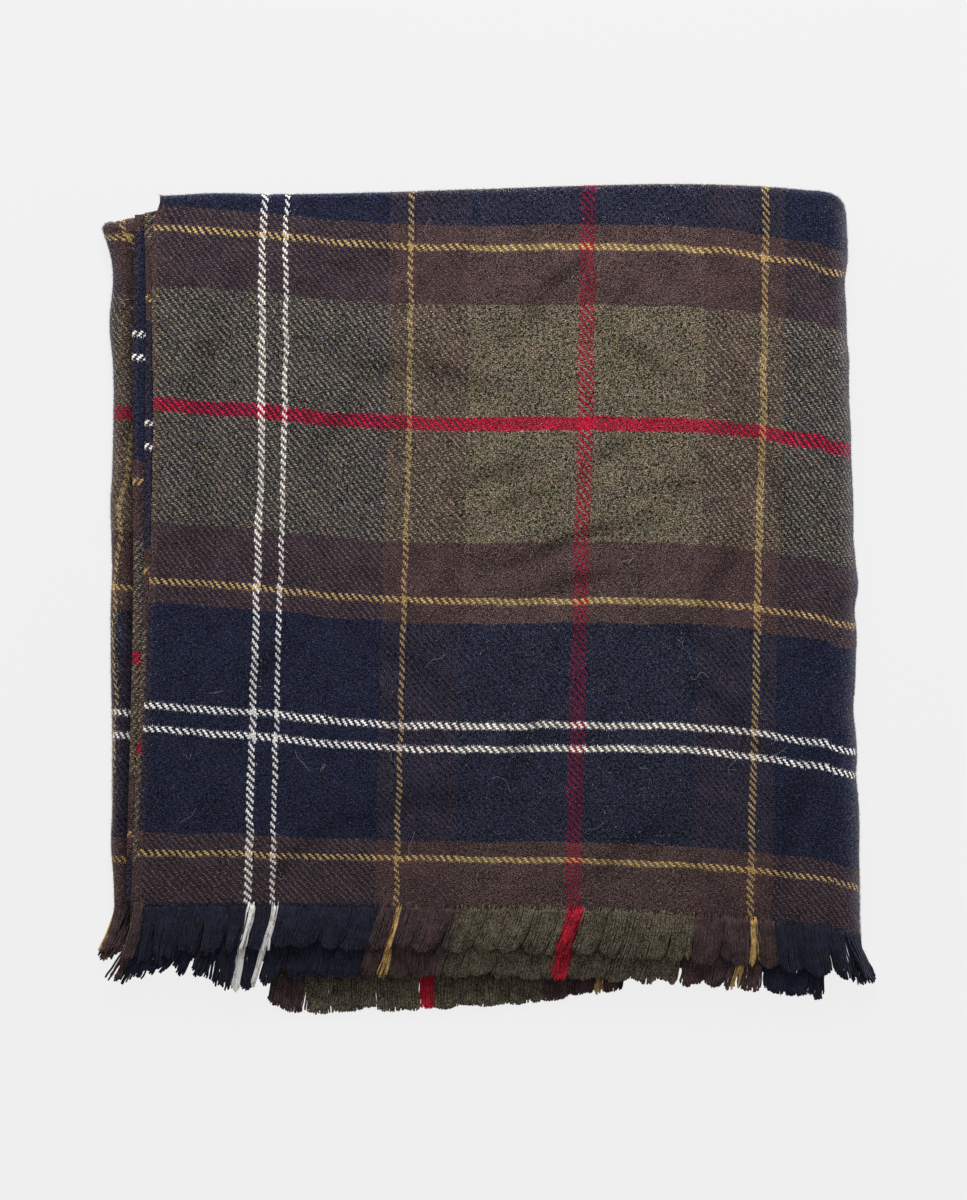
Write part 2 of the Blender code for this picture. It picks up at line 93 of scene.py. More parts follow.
# Fringe: (share along the row, length) and (share along the row, lean at the tips).
FRONT_LENGTH = [(0, .0310), (.08, .0250), (.20, .0213), (.60, .0215), (.72, .0225), (.82, .0235),
                (.90, .0255), (1, .0210)]
FRONT_LEAN = [(0, -.0060), (.10, -.0030), (.22, -.0060), (.60, -.0070), (.72, -.0020),
              (.86, .0034), (1, .0034)]
SECOND_LENGTH = [(0, .0290), (.07, .0210), (.10, .0214), (.15, .0285), (.20, .0280), (.235, .0225),
                 (.75, .0210), (1, .0220)]
SECOND_LEAN = [(0, -.0110), (.08, -.0085), (.20, -.0050), (.75, -.0040), (1, -.0010)]
THIRD_LENGTH = [(0, .0235), (.30, .0246), (1, .0200)]
THIRD_LEAN = [(0, -.0040), (.30, .0010), (1, -.0015)]
BACK_LENGTH = [(0, .0230), (.40, .0220), (.72, .0240), (1, .0240)]
BACK_LEAN = [(0, .0010), (.40, -.0020), (.72, -.0110), (1, -.0040)]
# Sinking edges of the stack: (y, depth).
HEM_SINK = [(-.200, .0108), (-.184, .0092), (-.168, .0064), (-.147, .0033), (-.120, .0010),
            (-.096, .0)]
HEM_HANG = [(-.186, .0056), (-.168, .0026), (-.147, .0)]
# At the left and the top: depth, and where it begins and ends.
LEFT_SINK, TOP_SINK = (.0032, -.118, -.170), (.0012, .150, .198)
EDGE_SINK, EDGE_REACH = .0006, .0030  # where a cut or woven edge thins out

# Dents of the round folds at the sides: (y, depth, half width); a negative one is a bulge.
RIGHT_DENTS = [(.1540, .0012, .0080), (.1160, -.0009, .0080), (.0290, .0009, .0080),
               (.0075, -.0010, .0065), (-.0045, .0007, .0055), (-.0180, -.0008, .0070),
               (-.0530, .0015, .0095), (-.0850, .0010, .0070)]
LEFT_DENTS = [(.1330, -.0020, .0150), (.0460, -.0007, .0120), (.0140, .0006, .0110),
              (-.0650, .0005, .0200), (-.1180, -.0009, .0120)]

# Faint unevenness of edges: depth, lengths of its waves and seed.
ROLL_WAVE = .00022, (.061, .027), 9
SELVEDGE_WAVE = .0003, (.071, .023, .009), 5
# The same for the hidden plies, where each ply or group adds its number to the seed.
LEFT_WAVE = .0011, (.19, .083, .037), 50
TOP_WAVE = .0005, (.13, .047), 80
HEM_WAVE = .0009, (.15, .061, .029), 20

# Creases of the top face: broad swells first, then the small soft ones.
Crease = namedtuple("Crease", "x y heading reach breadth lift")
CREASES = [Crease(*row) for row in (
    (.010, .150, 12, .070, .034, .0012), (.140, .008, -52, .050, .026, -.0011),
    (-.075, .030, 70, .080, .032, -.0011), (-.010, -.070, 8, .100, .034, .0011),
    (.078, .085, -20, .070, .032, -.0009), (.035, .151, 40, .020, .0038, -.0019),
    (.046, .029, 17, .034, .0040, -.0021), (.041, .007, 18, .020, .0038, -.0018),
    (.004, .058, 14, .020, .0042, -.0015), (.095, .053, 4, .014, .0044, -.0014),
    (.112, .008, 62, .022, .0046, -.0015), (-.090, -.117, 42, .020, .0042, .0017),
    (.073, -.117, 38, .026, .0042, -.0018), (.084, -.113, 38, .024, .0040, .0011),
    (.136, .060, -66, .028, .0050, -.0015), (.157, .160, -62, .018, .0050, -.0015),
    (-.128, .120, 74, .034, .0066, -.0014), (.120, -.050, -48, .028, .0052, .0015),
    (-.030, .108, -12, .040, .0060, -.0013), (-.110, -.030, 52, .028, .0062, .0013),
    (.150, -.105, 78, .028, .0050, -.0015), (-.040, -.030, -30, .030, .0056, -.0013),
    (.020, -.060, 64, .024, .0048, .0013), (-.060, .160, 24, .028, .0054, -.0012),
    (.080, .120, -34, .026, .0050, .0012), (.062, .070, 34, .018, .0040, -.0014),
    (.018, .046, 22, .016, .0040, -.0013), (.066, .142, 52, .016, .0040, -.0012),
    (.020, .130, 30, .018, .0042, -.0011), (.100, -.020, -30, .020, .0046, -.0012),
    (-.075, .075, 62, .024, .0052, -.0010), (-.140, .040, 82, .030, .0052, .0011),
    (-.030, -.100, 12, .034, .0054, -.0012),
)]
SWELLS = 5  # how many of them are broad swells
GENTLE_SIDE = 2.2  # a crease is this much wider on one side than the other
CREASE_BEND, CREASE_WINDS = .12, 2.2  # how far it winds about its own line, and how often
RIM_SHEEN, RIM_SHEEN_TILT = .62, .62  # painted sheen: how far the cloth pales round folds, and the tilt for all of it
PAINTED_SHADE_PER_METRE = 190.0  # share of painted shade for each metre of a crease's depth
DARKEST_PAINTED_SHADE = .5
STEEP_PLACE, STEEP_BREADTH = .6, .95  # where the painted shade lies beside a crease
RIPPLE = .00020  # the faint unevenness left all over

# --- Pattern: a generic tartan, mirrored about both its ends, alike in warp and weft ---
WARP_PITCH = .00083
WEFT_PITCH = .00094
Stripe = namedtuple("Stripe", "yarns colour woolly")
NAVY = (.0166, .0194, .0412)
OLIVE = (.1300, .1120, .0775)
BROWN = (.0765, .0465, .0470)
GOLD = (.4900, .3200, .1250)
WHITE = (.8800, .8550, .8250)
RED = (.4050, .0135, .0360)
SETT = [
    Stripe(4, RED, .40), Stripe(64, OLIVE, 1.0), Stripe(32, BROWN, .44), Stripe(3.5, GOLD, .10),
    Stripe(11, BROWN, .44), Stripe(58, NAVY, .65), Stripe(3.5, WHITE, .02),
    Stripe(5, NAVY, .65),
]
SETT_LENGTH = WARP_PITCH * sum(stripe.yarns for stripe in SETT)
WARP_PIVOT = .2105  # across: first red line's distance from the selvedge
WEFT_PIVOT = .2430  # along: a red line's height above the hem


# --- Small helpers ---
def mix(start, end, share):
    return start + (end - start) * share


def ease(share):
    share = np.clip(share, 0.0, 1.0)
    return share * share * (3 - 2 * share)


def follow(rows, at):
    """Value of a smooth line through the rows, level beyond its ends."""
    places, values = np.array(rows, float).T
    at = np.clip(np.asarray(at, float), places[0], places[-1])
    span = np.diff(places)
    slope = np.empty_like(places)
    slope[1:-1] = (values[2:] - values[:-2]) / (places[2:] - places[:-2])
    slope[0] = (values[1] - values[0]) / span[0]
    slope[-1] = (values[-1] - values[-2]) / span[-1]
    here = np.clip(np.searchsorted(places, at) - 1, 0, len(span) - 1)
    share = (at - places[here]) / span[here]
    lift = values[here + 1] - values[here]
    start, end = slope[here] * span[here], slope[here + 1] * span[here]
    curve = (start + end - 2 * lift) * share + (3 * lift - 2 * start - end)
    return values[here] + share * (start + share * curve)


def rounding(offset, radius):
    return radius - np.sqrt(np.maximum(0.0, radius * radius - offset * offset))


def waves(at, lengths, seed):
    """A smooth uneven line between about -1 and 1, made of waves of these lengths."""
    random = np.random.default_rng(seed)
    total = np.zeros_like(np.asarray(at, float))
    for length in lengths:
        total = total + np.sin(2 * pi * np.asarray(at) / length + random.uniform(0, 2 * pi))
    return total / len(lengths)


def edge_wave(at, kind, number=0):
    """Unevenness of an edge, from its depth, the lengths of its waves and its seed."""
    depth, lengths, seed = kind
    return depth * waves(at, lengths, seed + number)


# --- Form of the whole stack ---
def beside(crease, x, y):
    """Places along a crease and aside from it, as shares of its reach and breadth."""
    turn = radians(crease.heading)
    along = (x - crease.x) * cos(turn) + (y - crease.y) * sin(turn)
    aside = (y - crease.y) * cos(turn) - (x - crease.x) * sin(turn)
    aside = aside + CREASE_BEND * along * np.sin(along / crease.reach * CREASE_WINDS)
    return along / crease.reach, aside / crease.breadth


def painted_shade_and_sheen(x, y):
    """Painted shade on the steep sides of the creases, as the share by which they darken."""
    total = np.zeros_like(x)
    for crease in CREASES[SWELLS:]:
        along, aside = beside(crease, x, y)
        steep = (aside * np.sign(-crease.lift) - STEEP_PLACE) / STEEP_BREADTH
        total = total + abs(crease.lift) * PAINTED_SHADE_PER_METRE * np.exp(-along ** 2 - steep ** 2)
    return np.clip(total, 0, DARKEST_PAINTED_SHADE)


def relief(x, y):
    """How far the upper face stands above its even level."""
    lift = np.zeros_like(x)
    for crease in CREASES:
        along, aside = beside(crease, x, y)
        gentle = np.where(aside * crease.lift > 0, GENTLE_SIDE, 1.0)
        lift = lift + crease.lift * np.exp(-along ** 2 - (aside / gentle) ** 2)
    lift = lift + RIPPLE * (waves(x + .6 * y, (.047, .019, .013), 3)
                            + waves(y - .4 * x, (.041, .023, .011), 4))
    for at, (depth, start, end) in ((x, LEFT_SINK), (y, TOP_SINK)):
        lift = lift - depth * ease((at - start) / (end - start))
    return lift - follow(HEM_SINK, y)


def settle(x, y, z):
    """Lower the evenly stacked bundle to where the soft stack lets it lie."""
    lower = ease(z / MIDDLE)
    upper = ease((z - MIDDLE) / GROUP)
    return np.stack([x, y, z + relief(x, y) * lower - follow(HEM_HANG, y) * upper], -1)


def thin_out(from_edge):
    """How far the upper face sinks where a cut or woven edge thins out."""
    return EDGE_SINK * (1 - ease(from_edge / EDGE_REACH)) ** 2


def pressed_in(y, dents):
    """How far a round fold goes in (or, where negative, out) at this height."""
    return sum(depth * np.exp(-((y - place) / width) ** 2) for place, depth, width in dents)


def roll_line(y):
    edge = follow(RIGHT_EDGE, y) - RIGHT_ROLL + edge_wave(y, ROLL_WAVE)
    return edge - pressed_in(y, RIGHT_DENTS)


def left_line(y):
    return follow(LEFT_EDGE, y) + LEFT_FOLD + pressed_in(y, LEFT_DENTS)


# --- Where the threads run ---
# The warp leans a little to the left on its way down, and the weft sags to the right.
LEAN = [(-.160, -.0038), (-.086, -.0022), (.000, .0), (.085, .0025), (.195, .0036)]
LEFT_THREAD = -.1620
SETTLED = .080  # how far in the threads have left the selvedge's own line
SAG = [(-.165, .0), (-.110, -.0035), (-.064, -.0080), (-.016, -.0100), (.056, -.0098),
       (.115, -.0115), (.150, -.0165), (.176, -.0205)]
SAG_RISE = .075  # height above the hem at which the sag is all there


def across_front(x, y):
    """Distance across the cloth from its selvedge, on the front panel."""
    from_edge = x - follow(FRONT_SELVEDGE, y)
    share = ease(from_edge / SETTLED)
    return mix(from_edge, x - LEFT_THREAD - follow(LEAN, y), share)


def along_cloth(y, hem, own_sag, start_hem):
    """Distance along the cloth above its hem, where the weft sags by itself as well."""
    sag = own_sag - (hem - start_hem)
    return y - hem - sag * ease((y - hem) / SAG_RISE)


# --- Meshes ---
SHELL = .0012  # thickness of the visible cloth


def unit(vectors):
    return vectors / np.maximum(np.linalg.norm(vectors, axis=-1, keepdims=True), 1e-12)


def quads(index):
    """The faces of a net, from its points' numbers by column and row."""
    faces = np.stack([index[:-1, :-1], index[1:, :-1], index[1:, 1:], index[:-1, 1:]], -1)
    return faces.reshape(-1, 4).tolist()


def finished_mesh(points, faces, threads):
    """A smooth mesh, with the threads' places as its UV map."""
    mesh = bpy.data.meshes.new("cloth")
    mesh.from_pydata(points.reshape(-1, 3).tolist(), [], faces)
    mesh.update()
    layer = mesh.uv_layers.new(name="threads")
    corners = np.empty(len(mesh.loops), np.int32)
    mesh.loops.foreach_get("vertex_index", corners)
    layer.data.foreach_set("uv", threads.reshape(-1, 2)[corners].astype(np.float32).ravel())
    mesh.shade_smooth()
    return mesh


def net_normals(points):
    """Steps along the columns and rows of a net, its normals, and the area of each cell."""
    run_a = np.gradient(points, axis=0)
    run_b = np.gradient(points, axis=1)
    normal = np.cross(run_a, run_b)
    size = np.linalg.norm(normal, axis=2)
    normal /= np.maximum(size, 1e-12)[:, :, None]
    return run_a, run_b, normal, size


def paint_shade_and_sheen(piece, points):
    """Keep with a piece the painted shade in its creases (on the upper face), and, as less than
    nothing, the painted sheen that pales the cloth where it bends round a fold."""
    x, y, z = points.reshape(-1, 3).T
    tilt = 1 - abs(net_normals(points)[2][:, :, 2].ravel())
    rim_sheen = RIM_SHEEN * ease(tilt / RIM_SHEEN_TILT)
    painted_light_marks = piece.data.attributes.new("painted_shade_and_sheen", "FLOAT", "POINT")
    painted_light_marks.data.foreach_set("value", (painted_shade_and_sheen(x, y) * (z > MIDDLE) - rim_sheen).astype(np.float32))


def placed(name, data, place=(0, 0, 0)):
    made = bpy.data.objects.new(name, data)
    made.location = place
    bpy.context.scene.collection.objects.link(made)
    return made


def add_piece(name, mesh, material):
    mesh.name = name
    made = placed(name, mesh)
    mesh.materials.append(material)
    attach(made, "root")
    return made


def cloth_piece(name, points, threads):
    """A shell of cloth through points[column, row]."""
    index = np.arange(points[..., 0].size).reshape(points.shape[:2])
    made = add_piece(name, finished_mesh(points, quads(index), threads), twill)
    wall = made.modifiers.new("wall", "SOLIDIFY")
    wall.thickness = SHELL
    wall.offset = -1.0
    wall.use_even_offset = True
    return made


# --- The outer sheet ---
FRONT_CELLS = 160
ROLL_CELLS = 18
UNDERSIDE_CELLS = 44
FOLD_CELLS = 10
STRIP_CELLS = 14
SHEET_ROWS = 160
TOP_ROWS = 8
SELVEDGE_SHARES = (0, .0015, .0032)  # close columns, where the selvedge thins out
ROLL_DROP = .0018  # the weft keeps falling this much over the right roll


def sheet_stretches():
    """For each stretch: its path, its number of cells, and then its top, its hem and the sag
    of its weft as functions of the share along it."""
    def front(share, y):
        selvedge = follow(FRONT_SELVEDGE, y) + edge_wave(y, SELVEDGE_WAVE)
        x = mix(selvedge, roll_line(y), share)
        return x, HEIGHT - thin_out(x - selvedge), 0.0, 1.0

    def flat(start, end, height, face):
        return lambda share, y: (mix(start(y), end(y), share), height + 0 * y, 0.0, face)

    def bend(start, middle, radius, side):
        def path(share, y):
            face_x, face_z = side * sin(pi * share), side * cos(pi * share)
            return start(y) + radius * face_x, middle + radius * face_z + 0 * y, face_x, face_z
        return path

    def across(path):
        return lambda share: float(path(share, np.array(0.0))[0])

    def line(rows, place=lambda share: share, less=0.0):
        return lambda share: follow(rows, place(share)) - less

    def back(path):
        place = across(path)
        return (line(BACK_TOP_EDGE, place), line(BACK_HEM, place),
                line(BACK_HEM, place, start_hem))

    def level(value):
        return lambda share: value

    underside = flat(roll_line, left_line, 0.0, -1.0)
    strip = flat(left_line, level(STRIP_END), 2 * LEFT_FOLD, 1.0)
    on_front = across(front)
    start_hem, end_sag = HEM[0][1], SAG[-1][1]
    roll_sag = [(0.0, end_sag), (0.5, end_sag - ROLL_DROP), (1.0, HEM_ROLL[-1][1] - start_hem)]
    back_top, back_hem = BACK_TOP_EDGE[0][1], BACK_HEM[0][1]
    return [
        (front, FRONT_CELLS, line(TOP_EDGE, on_front), line(HEM, on_front), line(SAG, on_front)),
        (bend(roll_line, MIDDLE, RIGHT_ROLL, 1), ROLL_CELLS,
         line(TOP_EDGE_ROLL), line(HEM_ROLL), line(roll_sag)),
        (underside, UNDERSIDE_CELLS, *back(underside)),
        (bend(left_line, LEFT_FOLD, LEFT_FOLD, -1), FOLD_CELLS,
         level(back_top), level(back_hem), level(back_hem - start_hem)),
        (strip, STRIP_CELLS, *back(strip)),
    ]


def stretch_shares(stretch, cells):
    """Places of the columns along a stretch, closer together next to the front selvedge."""
    if stretch == 0:
        return list(SELVEDGE_SHARES) + [i / cells for i in range(1, cells + 1)]
    return [i / cells for i in range(1, cells + 1)]


def outer_sheet():
    """Points and thread places of the outer sheet, and where its fringe hangs."""
    columns, threads, bases = [], [], []
    across = last = None
    for stretch, (path, cells, top_at, hem_at, sag_at) in enumerate(sheet_stretches()):
        for share in stretch_shares(stretch, cells):
            top, hem = float(top_at(share)), float(hem_at(share))
            start = top - TOP_FOLD
            y = mix(hem, start, np.linspace(0, 1, SHEET_ROWS + 1))
            x, z, face_x, face_z = path(share, y)
            if stretch == 0:
                across = across_front(x, y)
            else:
                across = across + np.hypot(x - last[0], z - last[1])
            last = (x, z)
            turn = TOP_TURN * np.arange(1, TOP_ROWS + 1) / TOP_ROWS
            inward = TOP_FOLD * (1 - np.cos(turn))
            all_x = np.append(x, x[-1] - face_x * inward)
            all_y = np.append(y, start + TOP_FOLD * np.sin(turn))
            all_z = np.append(z, z[-1] - face_z * inward)
            along = along_cloth(y, hem, sag_at(share), HEM[0][1])
            along = np.append(along, along[-1] + TOP_FOLD * turn)
            columns.append(settle(all_x, all_y, all_z))
            threads.append(np.stack([np.append(across, [across[-1]] * TOP_ROWS), along], -1))
            bases.append((stretch, share, x[0], hem, z[0], face_x, face_z, across[0]))
    return np.array(columns), np.array(threads), bases


# --- The plies under it ---
PLY_CELLS = 90
PLY_ROWS = 110
PLY_BUNCHING = 1.7  # how far the columns crowd towards the selvedge
SECOND_THREAD, THIRD_THREAD = .330, .360  # place along the cloth at each one's hem


def ply_start(x):
    return np.minimum(follow(TOP_EDGE, x) - TOP_FOLD, follow(PLY_TOP_EDGE, x)) - 2 * GAP


def upper_ply(selvedge, level, hem_drop, shift):
    """A ply that lies flat under the front panel, the wrong side of the cloth upwards."""
    inner = RIGHT_ROLL - WALL - GAP / 3
    past_roll_line = sqrt(max(0.0, inner ** 2 - (level - MIDDLE) ** 2)) - 2 * GAP
    share = (np.linspace(0, 1, PLY_CELLS + 1) ** PLY_BUNCHING)[:, None]
    rows = np.linspace(0, 1, PLY_ROWS + 1)[None, :]
    at_middle = mix(follow(selvedge, 0.0), roll_line(0.0) + past_roll_line, share)
    hem = follow(HEM, at_middle) - hem_drop
    y = mix(hem, ply_start(at_middle), rows)
    x = mix(follow(selvedge, y), roll_line(y) + past_roll_line, share)
    across = x - follow(selvedge, y)
    along = shift - (y - hem)
    return settle(x, y, level - thin_out(across)), np.stack([across, along], -1)


# --- The hidden layers ---
CORE_CELLS_ACROSS = 110
CORE_CELLS_UP = 110
CORE_STEPS = 5  # levels for each ply
RIB = .00042  # how far the groove between two plies goes in
SLOT_FLOOR = 2 * GROUP - WALL - SLOT_ROOM
SLOT_ROOF = 2 * GROUP + SLOT_ROOM
SLOT_STEP = 5e-5  # height in which the core narrows to the slot
NARROWING = .010  # how far below its top fold the right roll's inside narrows
CORE_THREAD, GROUP_THREADS = -.05, (.031, .016)  # threads shift by the latter at each group


def core_levels():
    """Heights of the levels, each with whether the left edge is tucked into the slot there."""
    low, high = PITCH, HEIGHT - 3 * PITCH
    count = int(round((high - low) / PITCH)) * CORE_STEPS
    levels = [(z, False) for z in np.linspace(low, high, count + 1)
              if not SLOT_FLOOR - 2 * SLOT_STEP < z < SLOT_ROOF + 2 * SLOT_STEP]
    levels += [(SLOT_FLOOR - SLOT_STEP, False), (SLOT_FLOOR, True), (2 * GROUP, True),
               (SLOT_ROOF, True), (SLOT_ROOF + SLOT_STEP, False)]
    return sorted(levels)


def core_edges(z, tucked):
    """The four edges of a level as functions: left and right of y, top and hem of x."""
    group = min(int(z / GROUP - 1e-6), 3)
    ply = int(z / PITCH - 1e-6)
    in_ply = 2 * (z / PITCH - ply) - 1
    rib = RIB * in_ply ** 4
    edge = float(rounding(z - (group + .5) * GROUP, TOP_FOLD))

    def left(y):
        if tucked:
            return STRIP_END + GAP + 0 * y
        if z > 2 * GROUP:
            own = edge_wave(y, LEFT_WAVE, ply)
            return follow(THIRD_SELVEDGE, y) + UPPER_INSET + own + rib
        inner = LEFT_FOLD - WALL - ROUND_CLEARANCE
        return left_line(y) - inner + rounding(z - LEFT_FOLD, inner)

    def right(y, top):
        inner = RIGHT_ROLL - WALL - ROUND_CLEARANCE
        beside_fold = RIGHT_ROLL - 2 * TOP_FOLD - ROUND_CLEARANCE
        near_top = ease((y - top + TOP_FOLD + NARROWING) / (NARROWING - 2 * GAP))
        radius = mix(inner, beside_fold, near_top)
        offset = np.minimum(abs(z - MIDDLE), radius)
        return roll_line(y) + radius - rounding(offset, radius)

    def top(x):
        if group == 0:
            return follow(BACK_TOP_EDGE, x) - TOP_FOLD - 2 * GAP
        if group == 3:
            return ply_start(x)
        outline = LOWER_MID_TOP_EDGE if group == 1 else UPPER_MID_TOP_EDGE
        return follow(outline, x) - edge + edge_wave(x, TOP_WAVE, group)

    def hem(x):
        own = edge_wave(x, HEM_WAVE, ply)
        if group == 0:
            return follow(BACK_HEM, x) + edge + rib
        if group == 1:
            return follow(MID_HEM, x) + edge + rib
        return follow(HEM, x) + edge * (group == 2) + rib + own

    return left, right, top, hem


def core_ring(z, tucked):
    """The x and the y of points round a level, clockwise from above."""
    left, right, top, hem = core_edges(z, tucked)
    across = np.linspace(0, 1, CORE_CELLS_ACROSS + 1)
    up = np.linspace(0, 1, CORE_CELLS_UP + 1)
    start_x, end_x = float(left(0.0)), float(roll_line(0.0))
    y_left, y_right = (mix(hem(x), top(x), up) for x in (start_x, end_x))
    x_left, x_right = left(y_left), right(y_right, top(end_x))
    x_hem, x_top = (mix(x_left[end], x_right[end], across) for end in (0, -1))
    sides = [(x_left, y_left), (x_top, top(x_top)), (x_right[::-1], y_right[::-1]),
             (x_hem[::-1], hem(x_hem)[::-1])]
    return (np.concatenate([side[axis][:-1] for side in sides]) for axis in (0, 1))


def core_mesh():
    levels = core_levels()
    rings, threads = [], []
    for z, tucked in levels:
        x, y = core_ring(z, tucked)
        rings.append(settle(x, y, np.full_like(x, z)))
        group = int(z / GROUP - 1e-6)
        threads.append(np.stack([x + z + GROUP_THREADS[0] * group,
                                 y + z + CORE_THREAD + GROUP_THREADS[1] * group], -1))
    points, threads = np.array(rings), np.array(threads)
    index = np.arange(points[..., 0].size).reshape(points.shape[:2])
    closed = np.hstack([index, index[:, :1]])
    bottom, top = index.size, index.size + 1
    faces = quads(closed)
    faces += [[bottom, a, b] for a, b in zip(closed[0, :-1].tolist(), closed[0, 1:].tolist())]
    faces += [[top, b, a] for a, b in zip(closed[-1, :-1].tolist(), closed[-1, 1:].tolist())]
    middles = [[0, 0, PITCH], [0, 0, HEIGHT - 4 * PITCH]]
    points = np.vstack([points.reshape(-1, 3), middles])
    threads = np.vstack([threads.reshape(-1, 2), np.zeros((2, 2))])
    return finished_mesh(points, faces, threads)


# --- Strands ---
def tubes(paths, radii, sides, across, along, capped=True):
    """Tubes along paths[tube, knot], with radii[tube, knot], as one mesh."""
    count, knots = paths.shape[:2]
    run = unit(np.gradient(paths, axis=1))
    aside = np.cross(run, [0.0, 0.0, 1.0])
    upright = np.linalg.norm(aside, axis=2, keepdims=True) < 1e-4
    aside = np.where(upright, [1.0, 0.0, 0.0], unit(aside))
    over = np.cross(aside, run)
    angle = (2 * pi * np.arange(sides) / sides)[None, None, :, None]
    ring = aside[:, :, None] * np.cos(angle) + over[:, :, None] * np.sin(angle)
    points = paths[:, :, None] + ring * radii[:, :, None, None]
    index = np.arange(count * knots * sides).reshape(count, knots, sides)
    after = np.roll(index, -1, axis=2)
    walls = np.stack([index[:, :-1], after[:, :-1], after[:, 1:], index[:, 1:]], -1)
    faces = walls.reshape(-1, 4).tolist()
    if capped:
        faces += index[:, 0, ::-1].tolist() + index[:, -1].tolist()
    threads = np.stack([np.repeat(across[:, None], knots, 1), along], -1)
    return finished_mesh(points, faces, np.repeat(threads[:, :, None], sides, 2))


def stripe_at(across):
    """Number of the sett's stripe at a place across the cloth, for grouping strands."""
    place = abs((across - WARP_PIVOT + SETT_LENGTH) % (2 * SETT_LENGTH) - SETT_LENGTH)
    yarns, run = place / WARP_PITCH, 0.0
    for number, stripe in enumerate(SETT):
        run += stripe.yarns
        if yarns <= run:
            return number
    return len(SETT) - 1


STRAND_PLACES = np.array([0, .14, .30, .47, .64, .80, .93, .985, 1.0])
STRAND_SHAPE = np.array([.80, 1.0, 1.0, 1.0, 1.02, 1.04, 1.04, .96, .66])
STRAND_KNOTS = len(STRAND_PLACES)
HIDDEN_KNOTS = [0, 2, 4, 6, 8]
STRAND_SIDES = 4
BASE_POINTS = 90
STRAND_RADIUS = .00047
STRAND_SIZES = (.86, 1.12)  # least and most, as shares of that
# Locks of strands.  Where two are given, the first is for tight locks, the second for loose.
THIN_STRIPES, THIN_WIDTH = (0, 3, 6), .58  # the red, gold and white lines gather by themselves
LOCK_YARNS = (11, 19), (5, 9)
LOCK_WIDTHS = (.80, .92), (.28, .50)  # of the tips, as shares of the base
LOCK_PARTING = (.10, .24)
LOCK_SHIFT = .0013, .0026
LOCK_REACH, LONGEST_LOCK = (.92, .86), 1.05
LOWEST_LOCK, LOCK_LIFT = -.0002, (.0010, .0016)
LOCK_POINT, LOCK_DOME = .17, .0011  # how far a lock is pointed, and domed
POINT_POWER, GATHER_POWER, SWAY_POWER = 2.5, 1.5, 1.25
DOME_RISE = 1.8  # how soon a strand rises over the face
ROOT_REACH = .0018  # how far strands reach up over the hem
OWN_START = .2  # each strand's yarn starts within this length
TIP_SCATTER, LOOSE_SCATTER = (-.015, .035), .17
STRAND_SCATTER = .00012, .00080
CURL, CURL_TURNS, WOBBLE = .00025, (.8, 2.2), .00014
UNDER_FACE, LAYER_STEP, LAYER_SCATTER = .00030, .00060, .0001
Tuft = namedtuple("Tuft", "first last shift reach lift narrow")
Row = namedtuple("Row", "lengths leans loose apart layers hang gather rise ragged")


def tufts_along(across, share, random, row):
    """Group strands into locks: a change of stripe always starts one; loose ones are thinner."""
    tufts, first = [], 0
    limit = 6
    for i in range(1, len(across) + 1):
        ended = i == len(across)
        changed = not ended and stripe_at(across[i]) != stripe_at(across[i - 1])
        if ended or changed or i - first >= limit:
            free = float(follow(row.loose, share[first]))
            apart = float(follow(row.apart, share[first]))
            thin = stripe_at(across[first]) in THIN_STRIPES
            tight, loose = (random.uniform(*width) for width in LOCK_WIDTHS)
            narrow = mix(tight, loose, free)
            narrow = THIN_WIDTH if thin else narrow - apart * random.uniform(*LOCK_PARTING)
            tufts.append(Tuft(first, i, random.normal(0, mix(*LOCK_SHIFT, free)),
                              random.uniform(mix(*LOCK_REACH, free), LONGEST_LOCK),
                              random.uniform(LOWEST_LOCK, mix(*LOCK_LIFT, free)), narrow))
            first = i
            tight, loose = (random.uniform(*yarns) for yarns in LOCK_YARNS)
            limit = round(mix(tight, loose, free))
    return tufts


